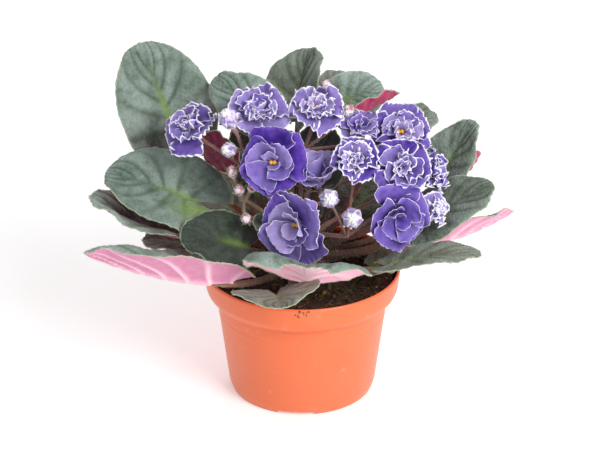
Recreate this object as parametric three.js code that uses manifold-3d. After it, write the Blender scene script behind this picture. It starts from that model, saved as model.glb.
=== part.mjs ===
// A potted African violet: a double-flowered plant in a thin moulded nursery pot.
// Millimetres, +Z up, standing on z = 0. The front of the plant faces -Y.
// The places in the tables below are measured from the axis of the pot.
import * as THREE from "three";
import { mergeVertices } from "three/addons/utils/BufferGeometryUtils.js";
import Module from "manifold-3d";

const wasm = await Module();
wasm.setup();

// ---------------------------------------------------------------- driving dimensions
const GAP = 0.3; // clearance between neighbouring pieces

const POT = {
  height: 81.5,
  rimRadius: 61,
  footRadius: 44, // where the pot stands
  bodyTopRadius: 52.4, // just below the collar
  collarBase: 62, // height at which the collar starts
  wall: 1.4,
  floorUnder: 2.4, // the floor is raised this far above the table
  floorTop: 4.2,
  feet: 4,
  notchWidth: 23, // between two feet
  drains: 6,
  drainRadius: 3.5,
  drainCircle: 27,
  segments: 30,
};
const SOIL = { top: 76.5, bumps: 1.3, segments: 24 };
const CROWN = { radius: 12, base: 62, shoulder: 90, top: 100, segments: 16 };
const LEAF = { thickness: 1.3, midrib: 1.5, lobe: 0.17, egg: 0.13, start: 0.35, rows: 6, halfColumns: 2 };
const PETIOLE = { radius: 2.1, sides: 5, steps: 4 };
const BLOOM = {
  petals: 5, // in each of the two rings
  thickness: 0.7,
  halfColumns: 1,
  hub: 1.7, // the petals start at this distance from the bloom's axis
  back: 2.6, // the point behind the petals
  rise: 1.9, // from the outer ring to the inner one
  throat: 1.2, // from the inner ring to the closed throat
  innerShare: 0.66, // length of the inner petals as a share of the outer ones
  innerLift: 26, // extra tilt of the inner petals, in degrees
  fullness: 1.56, // width of a petal as a share of half the room round the hub
  twist: 18, // degrees, so that each petal lies over one neighbour and under the other
};
const ANTHER = { radius: 1.3, apart: 1.05, stalk: 2.2 };
const BUD = { sides: 10, profile: [0.25, 0.75, 1, 0.86, 0.3] };
const STALK = { radius: 1.35, sides: 5, pedicelRadius: 0.9, pedicelSides: 4, cup: 2 };
const SMALL_BUD = { radius: 2.7, length: 7.5, sides: 6 };

// ---------------------------------------------------------------- small helpers
const v = (x, y, z) => new THREE.Vector3(x, y, z);
const fromArray = (a) => new THREE.Vector3(...a);
const direction = (a) => fromArray(a).normalize();
const radians = THREE.MathUtils.degToRad;
const lerp = THREE.MathUtils.lerp;
const range = (count) => Array.from({ length: count }, (_, i) => i);

// A repeatable draw between 0 and 1 from a seed and a counter.
function draw(seed, n) {
  const x = Math.sin(seed * 12.9898 + n * 78.233) * 43758.5453;
  return x - Math.floor(x);
}
// The same draw, spread evenly between -1 and 1.
const swing = (seed, n) => 2 * draw(seed, n) - 1;

// A closed three.js geometry as a manifold-3d solid that faces out.
function solidOf(geometry) {
  const bare = new THREE.BufferGeometry();
  bare.setAttribute("position", geometry.getAttribute("position"));
  bare.setIndex(geometry.index);
  const merged = mergeVertices(bare, 1e-4);
  const vertProperties = new Float32Array(merged.attributes.position.array);
  const triVerts = new Uint32Array(merged.index.array);
  const solid = new wasm.Manifold(new wasm.Mesh({ numProp: 3, vertProperties, triVerts }));
  if (solid.volume() > 0) return solid;
  for (let i = 0; i < triVerts.length; i += 3) {
    [triVerts[i + 1], triVerts[i + 2]] = [triVerts[i + 2], triVerts[i + 1]];
  }
  return new wasm.Manifold(new wasm.Mesh({ numProp: 3, vertProperties, triVerts }));
}

// The largest piece of a solid, back as a three.js geometry.
function geometryOf(solid) {
  const whole = solid.decompose().sort((a, b) => b.volume() - a.volume())[0];
  const mesh = whole.getMesh();
  const position = new Float32Array(mesh.numVert * 3);
  for (const i of range(mesh.numVert)) {
    const start = i * mesh.numProp;
    position.set(mesh.vertProperties.subarray(start, start + 3), i * 3);
  }
  const geometry = new THREE.BufferGeometry();
  geometry.setAttribute("position", new THREE.BufferAttribute(position, 3));
  geometry.setIndex(new THREE.BufferAttribute(new Uint32Array(mesh.triVerts), 1));
  return geometry;
}

const meshOf = (points, index) => new THREE.BufferGeometry().setFromPoints(points).setIndex(index);
const union = (solids) => solids.reduce((a, b) => a.add(b));

// A solid from rings of points: each ring is joined to the next, and the two ends are closed.
function lofted(rings) {
  const count = rings[0].length;
  const last = (rings.length - 1) * count;
  const index = [];
  for (let i = 0; i < last; i += count) {
    for (const j of range(count)) {
      const a = i + j;
      const b = i + ((j + 1) % count);
      index.push(a, b, a + count, b, b + count, a + count);
    }
  }
  for (let j = 1; j + 1 < count; j++) index.push(0, j + 1, j, last, last + j, last + j + 1);
  return solidOf(meshOf(rings.flat(), index));
}

// A round stem along a smooth curve through the points, with a radius at each point.
function stem(points, radii, sides, steps) {
  const curve = new THREE.CatmullRomCurve3(points, false, "centripetal");
  const frames = curve.computeFrenetFrames(steps, false);
  const rings = range(steps + 1).map((i) => {
    const place = curve.getPointAt(i / steps);
    const at = (i / steps) * (radii.length - 1);
    const k = Math.min(Math.floor(at), radii.length - 2);
    const radius = lerp(radii[k], radii[k + 1], at - k);
    return range(sides).map((j) => {
      const turn = (j / sides) * 2 * Math.PI;
      const spoke = place.clone().addScaledVector(frames.normals[i], radius * Math.cos(turn));
      return spoke.addScaledVector(frames.binormals[i], radius * Math.sin(turn));
    });
  });
  return lofted(rings);
}

// A solid of revolution about z from [radius, height] points.
function turned(profile, segments) {
  const points = profile.map(([r, z]) => new THREE.Vector2(r, z));
  return new THREE.LatheGeometry(points, segments).rotateX(Math.PI / 2);
}

// ---------------------------------------------------------------- blades: leaves and petals alike
// The middle surface of a blade. `along` runs from its base to its tip and `across` from -1 to 1.
// In a spec, base, tip and face are vectors and width is in mm. arch is the rise of the midrib and droop the
// fall of the tip, as shares of the length. fold and curl lift each half and flare lets its edge fall again,
// in degrees. wave is the height of the waves of the edge. lobe, egg, start and end shape the outline.
function bladePoint(spec, along, across) {
  const axis = spec.tip.clone().sub(spec.base);
  const length = axis.length();
  axis.normalize();
  const face = spec.face.clone().addScaledVector(axis, -spec.face.dot(axis)).normalize();
  const side = axis.clone().cross(face);
  const half = across < 0 ? 0 : 1;
  const t = Math.abs(across);

  const turn = lerp(spec.start, Math.PI - spec.end, along);
  const edgeAlong = (1 - spec.lobe) / 2 - ((1 + spec.lobe) / 2) * Math.cos(turn);
  const edgeAcross = Math.sin(turn) * (1 + spec.egg * Math.cos(turn));
  const a = along + (edgeAlong - along) * t ** 1.3;
  const b = (edgeAcross * t * spec.width) / 2;

  const inner = Math.max(a, 0);
  const rise = spec.arch * length * 4 * inner * (1 - inner) - spec.droop * length * inner ** 3;
  const slope = spec.arch * 4 * (1 - 2 * inner) - 3 * spec.droop * inner ** 2;
  const above = face.clone().addScaledVector(axis, -slope).normalize();

  const lift = radians(spec.fold[half]) * (1 - 0.25 * along) + (radians(spec.curl) * t) / 2;
  const lean = lift - radians(spec.flare[half]) * t ** 4;
  const swell = spec.wave * t * t * Math.min(1, 1.5 * along);
  const ripple =
    swell * Math.sin(along * spec.waves * 2 * Math.PI + spec.phase + half * 1.9) +
    (swell / 2) * t * Math.sin(along * spec.waves * 3.7 * Math.PI + spec.phase * 2);
  const sign = half ? 1 : -1;
  return spec.base
    .clone()
    .addScaledVector(axis, a * length)
    .addScaledVector(face, rise)
    .addScaledVector(side, sign * (b * Math.cos(lean) - ripple * Math.sin(lean)))
    .addScaledVector(above, b * Math.sin(lean) + ripple * Math.cos(lean));
}

// The direction that the blade's upper surface faces at a point.
function bladeNormal(spec, along, across) {
  const d = 0.02;
  const e = across === 0 ? 0.07 : d; // wide at the midrib, to even out its crease
  const ahead = bladePoint(spec, Math.min(along + d, 1), across);
  const behind = bladePoint(spec, Math.max(along - d, 0), across);
  const right = bladePoint(spec, along, Math.min(across + e, 1));
  const left = bladePoint(spec, along, Math.max(across - e, -1));
  return right.sub(left).cross(ahead.sub(behind)).normalize();
}

// The points of a blade's upper and lower faces, row by row. A midrib thickens the middle below.
function bladeFaces(spec, thickness, rows, halfColumns) {
  const upper = [];
  const lower = [];
  for (const i of range(rows + 1)) {
    for (const j of range(2 * halfColumns + 1)) {
      const along = i / rows;
      const across = j / halfColumns - 1;
      const place = bladePoint(spec, along, across);
      const normal = bladeNormal(spec, along, across);
      const rib = across === 0 ? spec.midrib * (1 - along) : 0;
      upper.push(place.clone().addScaledVector(normal, thickness / 2));
      lower.push(place.clone().addScaledVector(normal, -thickness / 2 - rib));
    }
  }
  return [...upper, ...lower];
}

// The triangles of a blade's two faces, with the same diagonals above and below, and of its rim. The blade's
// points start at `first`. An open blade has no rim along its first row, where it joins something else.
function bladeIndex(first, rows, halfColumns, open) {
  const columns = 2 * halfColumns;
  const under = (rows + 1) * (columns + 1);
  const at = (i, j) => first + i * (columns + 1) + j;
  const index = [];
  for (const i of range(rows)) {
    for (const j of range(columns)) {
      const [p, q, r, s] = [at(i, j), at(i, j + 1), at(i + 1, j), at(i + 1, j + 1)];
      const pair = j < halfColumns ? [p, q, s, p, s, r] : [p, q, r, q, s, r];
      const [a, b, c, d, e, f] = pair.map((k) => k + under);
      index.push(...pair, a, c, b, d, f, e);
    }
  }
  const rim = range(rows + 1).map((i) => at(i, columns));
  for (let j = columns - 1; j >= 0; j--) rim.push(at(rows, j));
  for (let i = rows - 1; i >= 0; i--) rim.push(at(i, 0));
  if (!open) for (let j = 1; j <= columns; j++) rim.push(at(0, j));
  for (let k = 0; k + 1 < rim.length; k++) {
    const [p, q] = [rim[k], rim[k + 1]];
    index.push(p, under + p, q, q, under + p, under + q);
  }
  return index;
}

// ---------------------------------------------------------------- materials
const surface = (color, roughness) =>
  new THREE.MeshStandardMaterial({ color, roughness, metalness: 0, side: THREE.DoubleSide });
const MATERIAL = {
  plastic: surface(0xf0855a, 0.5),
  soil: surface(0x2e2419, 1),
  crown: surface(0x7d6b45, 0.8),
  leaf: surface(0x5f7d62, 0.75),
  petal: surface(0x5a44b4, 0.6),
  bud: surface(0xd9cfe8, 0.7),
  stalk: surface(0x8a4a44, 0.7),
  anther: surface(0xf2c21a, 0.6),
};

const plant = new THREE.Group();
function add(name, solid, material) {
  const mesh = new THREE.Mesh(geometryOf(solid), material);
  mesh.name = name;
  plant.add(mesh);
}

// ---------------------------------------------------------------- pot
// A thin shell: a raised floor, a tapered body with two faint steps, a collar and a rolled rim.
function potShell() {
  const { rimRadius, footRadius, bodyTopRadius, collarBase, height, wall, floorTop, floorUnder } = POT;
  const under = [
    [0, floorUnder],
    [footRadius - 4.5, floorUnder],
    [footRadius - 3.5, 0],
  ];
  const outside = [
    [footRadius, 0],
    [footRadius + 2, 6],
    [bodyTopRadius - 0.8, 50],
    [bodyTopRadius - 0.4, 51.5],
    [bodyTopRadius - 0.4, 54.5],
    [bodyTopRadius, 55.5],
    [bodyTopRadius + 0.4, collarBase],
    [rimRadius - 5.4, collarBase + 1.4],
    [rimRadius - 2.6, collarBase + 4.2],
    [rimRadius - 1.4, collarBase + 7],
    [rimRadius, height - 1],
    [rimRadius - 0.6, height],
  ];
  const inside = [
    [rimRadius - 1.6, height],
    [rimRadius - 1.4 - wall, collarBase + 10],
    [rimRadius - 2.4 - wall, collarBase + 6],
    [bodyTopRadius - wall, collarBase + 1],
    [bodyTopRadius - 1.2 - wall, 50],
    [footRadius + 1.6 - wall, floorTop],
    [0, floorTop],
  ];
  return solidOf(turned([...under, ...outside, ...inside], POT.segments));
}

function makePot() {
  let pot = potShell();
  for (const k of range(POT.feet)) {
    const notch = new THREE.BoxGeometry(POT.notchWidth, 20, 2 * POT.floorUnder - 0.4)
      .translate(0, -POT.footRadius, 0)
      .rotateZ((k * 2 * Math.PI) / POT.feet - radians(5));
    pot = pot.subtract(solidOf(notch));
  }
  for (const k of range(POT.drains)) {
    const turn = ((k + 0.5) / POT.drains) * 2 * Math.PI;
    const drain = new THREE.CylinderGeometry(POT.drainRadius, POT.drainRadius, 12, 8)
      .rotateX(Math.PI / 2)
      .translate(POT.drainCircle * Math.cos(turn), POT.drainCircle * Math.sin(turn), POT.floorUnder);
    pot = pot.subtract(solidOf(drain));
  }
  add("pot", pot, MATERIAL.plastic);
}

// ---------------------------------------------------------------- soil and crown
// The soil fills the pot to just under its rim. Its top is uneven, and the crown stands in a plain hole.
function makeSoil() {
  const top = SOIL.top;
  const edge = POT.rimRadius - 2.4 - POT.wall - GAP;
  const shape = turned(
    [
      [0, POT.floorTop + GAP],
      [POT.footRadius + 1.2 - POT.wall - GAP, POT.floorTop + GAP],
      [POT.bodyTopRadius - 1.5 - POT.wall - GAP, 50],
      [POT.bodyTopRadius - POT.wall - 3 * GAP, POT.collarBase + 1.2],
      [edge - 0.8, POT.collarBase + 6.4],
      [edge + 0.2, top - 1],
      [edge - 8, top],
      [edge - 20, top],
      [edge - 32, top],
      [0, top],
    ],
    SOIL.segments,
  );
  const place = shape.getAttribute("position");
  for (const i of range(place.count)) {
    const [x, y, z] = [place.getX(i), place.getY(i), place.getZ(i)];
    const ring = Math.round(Math.hypot(x, y));
    const turn = Math.round((Math.atan2(y, x) / (2 * Math.PI) + 1) * SOIL.segments) % SOIL.segments;
    if (z > top - 0.5 && ring > 1) place.setZ(i, z + SOIL.bumps * swing(ring, turn));
  }
  const depth = POT.height - CROWN.base;
  const hole = new THREE.CylinderGeometry(CROWN.radius + GAP, CROWN.radius + GAP, 2 * depth, CROWN.segments)
    .rotateX(Math.PI / 2)
    .translate(0, 0, CROWN.base - GAP + depth);
  add("soil", solidOf(shape).subtract(solidOf(hole)), MATERIAL.soil);
}

// The short fleshy stem that every petiole and flower stalk springs from, swollen by `extra`.
function crownSolid(extra) {
  const r = CROWN.radius + extra;
  const profile = [
    [0, CROWN.base - extra],
    [r, CROWN.base - extra],
    [r, CROWN.shoulder],
    [r * 0.8, lerp(CROWN.shoulder, CROWN.top, 0.6) + extra],
    [r * 0.4, CROWN.top + extra],
    [0, CROWN.top + extra],
  ];
  return solidOf(turned(profile, CROWN.segments));
}

// A point just inside the crown's skin, at an angle round it.
function onCrown(degrees, height) {
  const r = CROWN.radius - 1.5 - Math.max(0, height - CROWN.shoulder) * 0.35;
  return v(r * Math.cos(radians(degrees)), r * Math.sin(radians(degrees)), height);
}

// ---------------------------------------------------------------- leaves
// base: where the blade meets its petiole. tip: the end of the blade. face: which way its upper side looks.
// fold: how far its left and right halves rise, in degrees. root: where the petiole leaves the crown, as
// degrees round it and a height.
const leaf = (base, tip, face, width, fold, root, more) => ({ base, tip, face, width, fold, root, ...more });
const LEAVES = {
  left_back_tall: leaf([-77, 42, 142], [-102, 66, 203], [0.3, -0.85, 0.45], 63, [12, 12], [146, 94]),
  back_left: leaf([-17, 28, 163], [-55, 57, 183], [0.15, -0.75, 0.65], 38, [8, 8], [122, 94]),
  back_tall: leaf([-4, 40, 161], [5, 70, 198], [-0.35, -0.8, 0.5], 48, [10, 48], [100, 93]),
  back_far: leaf([21, 72, 156], [25, 92, 174], [0, -0.6, 0.8], 34, [10, 10], [82, 87]),
  back_right: leaf([18, 50, 168], [51, 62, 175], [0, -0.85, 0.5], 33, [10, 10], [72, 93]),
  back_right_edge: leaf([31, 30, 166], [60, 36, 182], [-0.3, 0.6, 0.75], 26, [10, 10], [38, 92]),
  back_right_long: leaf([52, 54, 147], [85, 79, 150], [0, -0.4, 0.9], 32, [10, 10], [50, 87]),
  right_tall: leaf([85, 34.5, 121.5], [108, 51, 157], [-0.35, -0.85, 0.4], 38, [8, 36], [14, 93], { egg: 0.4 }),
  right_back: leaf([96, 42, 112], [113, 56, 133], [-0.5, 0.6, 0.6], 36, [10, 10], [28, 87]),
  right: leaf([68, 2, 104], [118, 12, 131], [-0.3, -0.45, 0.8], 39, [8, 8], [-3, 89]),
  right_low: leaf([66, 15, 87], [131, 14, 112], [-0.3, 0.5, 0.8], 42, [10, 22], [16, 83], {
    arch: -0.06,
    sag: -0.02,
  }),
  right_front_low: leaf([51, -29.5, 95], [108, -36, 106], [-0.15, 0.1, 1], 37, [8, 8], [-30, 85], { egg: 0 }),
  right_inner_low: leaf([42, -11, 85.5], [66, -11, 92.5], [-0.2, -0.3, 0.9], 22, [10, 10], [-17, 81.5]),
  front: leaf([3, -37.5, 87.3], [3, -66, 119], [0.12, 0.6, 0.8], 72, [12, 16], [-84, 86], {
    lobe: -0.02,
    egg: -0.4,
    start: 0.2,
    droop: 0.15,
    flare: [10, 16],
  }),
  front_low: leaf([-15.5, -51, 86.2], [-12, -83.5, 94.5], [0, -0.2, 1], 54, [15, 7], [-106, 80.5], {
    lobe: 0.34,
    start: 0.15,
  }),
  left_front_long: leaf([-42, -37, 88], [-130, -50, 114], [0.2, 0.35, 0.9], 54, [40, 38], [-142, 83], {
    arch: -0.05,
  }),
  left_front_inner: leaf([-32, -20, 103], [-74, -24, 114], [0.15, -0.5, 0.85], 41, [10, 10], [-150, 91]),
  left_low: leaf([-63, 0, 94], [-99, 6, 96], [0, -0.1, 1], 34, [10, 10], [178, 82]),
  left: leaf([-64, 6, 121], [-121, 13, 138], [0.25, -0.47, 0.86], 57.5, [8, 14], [168, 90], {
    lobe: 0.36,
    start: 0.2,
  }),
  left_under: leaf([-61, -4, 102], [-131, 5, 126], [0.15, 0, 1], 48, [30, 36], [-172, 87.5], {
    arch: -0.09,
    flare: [5, 0],
    egg: 0,
  }),
  left_inner: leaf([-46, 16, 141], [-65, 20, 162], [0.5, 0.75, 0.4], 36, [8, 8], [184, 95]),
  young_front: leaf([-10, -16, 110], [-30, -22, 122], [0.1, -0.4, 0.9], 22, [15, 15], [-122, 94]),
  inner_left: leaf([-28, 18, 119], [-38.5, 41, 161], [0.1, -0.8, 0.5], 28, [8, 8], [152, 98]),
  inner_back: leaf([8, 19.5, 129], [12, 31.5, 164], [0, -0.9, 0.4], 36, [8, 20], [54, 98]),
  far_right: leaf([29, 38, 90], [58, 99, 108], [-0.1, -0.2, 1], 54, [10, 10], [56, 80]),
  far: leaf([-6, 38, 97], [-12, 118, 118], [0, -0.2, 1], 54, [10, 10], [97, 84]),
  far_left: leaf([-36, 32, 92], [-76, 88, 108], [0.2, -0.2, 1], 50, [10, 10], [137, 81]),
};

function leafSpec(leaf, number) {
  return {
    base: fromArray(leaf.base),
    tip: fromArray(leaf.tip),
    face: fromArray(leaf.face),
    width: leaf.width,
    fold: leaf.fold,
    flare: leaf.flare ?? [0, 0],
    curl: 0,
    arch: leaf.arch ?? 0.05,
    droop: leaf.droop ?? 0,
    wave: 1.4,
    waves: 2.5,
    phase: 2 * Math.PI * draw(7, number),
    lobe: leaf.lobe ?? LEAF.lobe,
    egg: leaf.egg ?? LEAF.egg,
    start: leaf.start ?? LEAF.start,
    end: 0.3,
    midrib: LEAF.midrib,
  };
}

// A blade with its petiole, which leaves the crown, sags a little and ends under the base of the blade.
function makeLeaf(name, leaf, number) {
  const spec = leafSpec(leaf, number);
  const points = bladeFaces(spec, LEAF.thickness, LEAF.rows, LEAF.halfColumns);
  const blade = solidOf(meshOf(points, bladeIndex(0, LEAF.rows, LEAF.halfColumns, false)));
  const root = onCrown(...leaf.root);
  const middle = root.clone().lerp(spec.base, 0.45);
  middle.z -= (leaf.sag ?? 0.08) * root.distanceTo(spec.base);
  const under = (along) =>
    bladePoint(spec, along, 0).addScaledVector(bladeNormal(spec, along, 0), -LEAF.thickness);
  const r = PETIOLE.radius;
  const path = [root, middle, under(0.02), under(0.14)];
  const petiole = stem(path, [1.1 * r, r, r, 0.4 * r], PETIOLE.sides, PETIOLE.steps);
  add("leaf_" + name, blade.add(petiole).subtract(crownSolid(GAP)), MATERIAL.leaf);
}

// ---------------------------------------------------------------- blooms
// at: the middle of the outer ring of petals. face: the way that the bloom looks. tilt: how far the outer
// petals rise above the plane of the bloom, in degrees.
const bloom = (at, face, radius, tilt) => ({ at, face, radius, tilt });
const BLOOMS = {
  far_left: bloom([-66, 10, 168], [-0.55, -0.35, 0.75], 18, 12),
  left_top: bloom([-27, 13, 175.5], [0.1, -0.55, 0.8], 19, 20),
  top: bloom([8, 15, 177.5], [0, -0.6, 0.8], 18, 12),
  centre: bloom([-17, -14, 158], [-0.1, -0.95, 0.3], 21, 14),
  middle: bloom([10, -1, 135], [-0.25, -0.1, 0.95], 25.5, 43),
  middle_right: bloom([32, -9, 155.5], [0, -0.8, 0.6], 16, 24),
  right_top: bloom([59.5, 18, 162], [0.1, -0.75, 0.65], 18.3, 12),
  right: bloom([59, -8, 150.5], [0.1, -0.85, 0.5], 18, 16),
  right_edge: bloom([76.5, 6, 142], [0.95, -0.2, 0.3], 15, 12),
  right_low: bloom([55.5, -20, 126], [0.35, -0.85, 0.1], 20.5, 18),
  front: bloom([-1, -32, 126], [-0.45, -0.85, 0.05], 23.5, 20),
  top_right: bloom([34.7, 13, 167], [0, -0.4, 0.9], 12.8, 16),
  right_small: bloom([78.5, -10, 124], [0.7, -0.5, 0.3], 11, 20),
  rear_left: bloom([-14, 46, 138], [-0.2, 0.8, 0.6], 18, 14),
  rear_right: bloom([33, 56, 124], [0.2, 0.8, 0.5], 17, 14),
};

// A direction square to `face`, turned about it.
function around(face, turn) {
  const start = Math.abs(face.z) > 0.9 ? v(1, 0, 0) : v(0, 0, 1);
  const first = start.addScaledVector(face, -start.dot(face)).normalize();
  const second = face.clone().cross(first);
  return first.multiplyScalar(Math.cos(turn)).addScaledVector(second, Math.sin(turn));
}

// One petal: `turn` is its place round the hub and `tilt` its angle above the plane of the bloom.
function petalSpec(centre, face, turn, length, width, tilt, seed) {
  const outward = around(face, turn);
  const along = outward.clone().multiplyScalar(Math.cos(tilt)).addScaledVector(face, Math.sin(tilt));
  const upper = face.clone().multiplyScalar(Math.cos(tilt)).addScaledVector(outward, -Math.sin(tilt));
  const twist = radians(BLOOM.twist + 3 * swing(seed, 3));
  return {
    base: centre.clone().addScaledVector(outward, BLOOM.hub),
    tip: centre.clone().addScaledVector(along, length),
    face: upper.addScaledVector(around(face, turn + Math.PI / 2), Math.tan(twist)),
    width,
    fold: [5 + 3 * swing(seed, 4), 5 + 3 * swing(seed, 5)],
    flare: [0, 0],
    curl: 6,
    arch: 0.07,
    droop: 0.05 * swing(seed, 6),
    wave: 0.05 * width,
    waves: 2,
    phase: 2 * Math.PI * draw(seed, 7),
    lobe: 0,
    egg: -0.72,
    start: 0.12,
    end: 0.55,
    midrib: 0,
  };
}

// The two rings of petals of a bloom, from the outside in. Neighbouring petals meet where they are widest.
function petalRings(bloom, number) {
  const face = direction(bloom.face);
  const outer = fromArray(bloom.at);
  const inner = outer.clone().addScaledVector(face, BLOOM.rise);
  const rings = [
    { centre: outer, length: bloom.radius, tilt: bloom.tilt, rows: 3 },
    { centre: inner, length: bloom.radius * BLOOM.innerShare, tilt: bloom.tilt + BLOOM.innerLift, rows: 2 },
  ];
  return rings.map((ring, r) => ({
    rows: ring.rows,
    specs: range(BLOOM.petals).map((k) => {
      const seed = 10 * number + BLOOM.petals * r + k + 1;
      const turn = (2 * Math.PI * (k + r / 2 + 0.04 * swing(seed, 1))) / BLOOM.petals;
      const length = ring.length * (1 + 0.07 * swing(seed, 2));
      const tilt = radians(ring.tilt + 2 * swing(seed, 8));
      const reach = BLOOM.hub + 0.62 * ring.length * Math.cos(tilt);
      const width = BLOOM.fullness * reach * Math.tan(Math.PI / BLOOM.petals);
      return petalSpec(ring.centre, face, turn, length, width, tilt, seed);
    }),
  }));
}

// A bloom as one closed skin: a pointed back, two rings of petals round the hub, and a closed throat.
function makeBloom(name, bloom, number) {
  const face = direction(bloom.face);
  const centre = fromArray(bloom.at);
  const points = [centre.clone().addScaledVector(face, -BLOOM.back)];
  const index = [];
  const columns = 2 * BLOOM.halfColumns;
  let below = null;
  for (const { specs, rows } of petalRings(bloom, number)) {
    const upper = [];
    // The hub is walked clockwise, as seen from the front: against the order of the petals.
    for (const spec of specs.toReversed()) {
      const first = points.length;
      points.push(...bladeFaces(spec, BLOOM.thickness, rows, BLOOM.halfColumns));
      index.push(...bladeIndex(first, rows, BLOOM.halfColumns, true));
      upper.push(...range(columns + 1).map((j) => first + j));
    }
    const under = (rows + 1) * (columns + 1);
    upper.forEach((a, i) => {
      const next = (i + 1) % upper.length;
      const b = upper[next];
      const [c, d] = [a + under, b + under];
      if (i % (columns + 1) === columns) index.push(a, b, c, b, d, c);
      if (below) index.push(below[i], c, below[next], below[next], c, d);
      else index.push(0, c, d);
    });
    below = upper;
  }
  const throat = points.length;
  points.push(centre.clone().addScaledVector(face, BLOOM.rise + BLOOM.throat));
  below.forEach((a, i) => index.push(throat, below[(i + 1) % below.length], a));
  add("bloom_" + name, solidOf(meshOf(points, index)), MATERIAL.petal);
}

// Two anthers on a short stalk that stands at the throat of a bloom.
function makeAnthers(name) {
  const face = direction(BLOOMS[name].face);
  const sideways = around(face, Math.PI / 2);
  const foot = fromArray(BLOOMS[name].at).addScaledVector(face, BLOOM.rise + BLOOM.throat + GAP);
  const top = foot.clone().addScaledVector(face, ANTHER.stalk);
  const pieces = [-1, 1].map((side) => {
    const place = top.clone().addScaledVector(sideways, side * ANTHER.apart);
    return solidOf(new THREE.SphereGeometry(ANTHER.radius, 5, 3).translate(...place));
  });
  pieces.push(stem([foot, top], [0.6, 0.7], 5, 1));
  add("anthers_" + name, union(pieces), MATERIAL.anther);
}

// ---------------------------------------------------------------- buds
// Large unopened blooms. at: the middle. face: the way that the bud points.
const bud = (at, face, radius, length) => ({ at, face, radius, length });
const BUDS = {
  left: bud([-44, -8, 183], [-0.3, -0.4, 0.8], 6, 16),
  left_low: bud([-44, -8, 163], [-0.5, -0.6, 0.3], 4.6, 11),
  front: bud([16, -28, 140], [0, -0.9, 0.4], 6, 11),
  front_right: bud([30, -32, 129], [0, -0.9, 0.35], 6.4, 12),
};

// An egg with shallow ridges, where the edges of the closed petals lie.
function budSolid(at, face, radius, length, sides) {
  const last = BUD.profile.length - 1;
  const rings = BUD.profile.map((share, i) =>
    range(sides).map((j) => {
      const turn = (j / sides) * 2 * Math.PI + 0.25 * i;
      const ridge = j % 2 ? 0.91 : 1.06;
      const middle = at.clone().addScaledVector(face, length * (i / last - 0.5));
      return middle.addScaledVector(around(face, turn), radius * share * ridge);
    }),
  );
  return lofted(rings);
}

function makeBud(name, bud) {
  const solid = budSolid(fromArray(bud.at), direction(bud.face), bud.radius, bud.length, BUD.sides);
  add("bud_" + name, solid, MATERIAL.bud);
}

// ---------------------------------------------------------------- sprays
// Flower stalks. root: degrees round the top of the crown. fork: where the stalk divides. Each branch ends in
// a small cup behind the bloom or large bud that it carries. Small buds are part of the spray itself.
const spray = (root, fork, blooms, buds, small) => ({ root, fork, blooms, buds, small });
const SPRAYS = {
  left: spray(172, [-34, 4, 146], ["far_left", "left_top"], ["left", "left_low"], []),
  left_front: spray(-150, [-36, -10, 132], [], [], [
    [-42, -12, 150],
    [-38, -14, 139],
    [-30, -16, 142],
    [-34, -22, 124],
  ]),
  centre: spray(-105, [-4, -6, 124], ["centre", "middle", "front"], [], []),
  right_front: spray(-40, [28, -14, 108], ["right_low", "middle_right"], ["front", "front_right"], []),
  right: spray(5, [47, 6, 124], ["right_top", "right", "right_edge", "right_small"], [], []),
  back: spray(125, [1, 18, 153], ["top", "top_right"], [], [
    [14.5, 30, 188.5],
    [28, 10, 181],
  ]),
  rear: spray(86, [3, 34, 116], ["rear_left", "rear_right"], [], []),
};

function makeSpray(name, spray) {
  const root = onCrown(spray.root, CROWN.top - 2).multiply(v(0.6, 0.6, 1));
  const fork = fromArray(spray.fork);
  const rise = root.clone().lerp(fork, 0.2).add(v(0, 0, 4));
  const thick = STALK.radius;
  const pieces = [stem([root, rise, fork], [1.2 * thick, thick, 0.85 * thick], STALK.sides, 3)];

  const branch = (end, face, cup) => {
    const start = fork.clone().lerp(rise, 0.04);
    const before = end.clone().addScaledVector(face, -8);
    const r = STALK.pedicelRadius;
    pieces.push(stem([start, before, end], [r, r, r, cup], STALK.pedicelSides, 3));
  };
  for (const key of spray.blooms) {
    const face = direction(BLOOMS[key].face);
    branch(fromArray(BLOOMS[key].at).addScaledVector(face, -BLOOM.back - GAP), face, STALK.cup);
  }
  for (const key of spray.buds) {
    const face = direction(BUDS[key].face);
    branch(fromArray(BUDS[key].at).addScaledVector(face, -BUDS[key].length / 2 - GAP), face, STALK.cup);
  }
  for (const place of spray.small.map(fromArray)) {
    const outward = place.clone().sub(fork).normalize();
    const face = outward.lerp(v(0, -0.3, 1), 0.3).normalize();
    branch(place.clone().addScaledVector(face, -2), face, 1.2);
    pieces.push(budSolid(place, face, SMALL_BUD.radius, SMALL_BUD.length, SMALL_BUD.sides));
  }
  add("spray_" + name, union(pieces).subtract(crownSolid(GAP)), MATERIAL.stalk);
}

// ---------------------------------------------------------------- the whole plant
makePot();
makeSoil();
add("crown", crownSolid(0), MATERIAL.crown);
Object.entries(LEAVES).forEach(([name, leaf], number) => makeLeaf(name, leaf, number));
Object.entries(BLOOMS).forEach(([name, bloom], number) => makeBloom(name, bloom, number));
["centre", "top", "right_top", "front"].forEach(makeAnthers);
Object.entries(BUDS).forEach(([name, bud]) => makeBud(name, bud));
Object.entries(SPRAYS).forEach(([name, spray]) => makeSpray(name, spray));

// The origin is under the middle of the plant's outer box.
const middle = new THREE.Box3().setFromObject(plant).getCenter(v(0, 0, 0));
plant.position.set(-middle.x, -middle.y, 0);

export default plant;
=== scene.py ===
# %% [markdown]
# # A potted African violet
# A double-flowered violet grows in a thin orange nursery pot. Its solids are already measured and packed, so
# this lesson only dresses them: every leaf, bloom, bud and stalk is made again, finer, in the same place.

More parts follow.
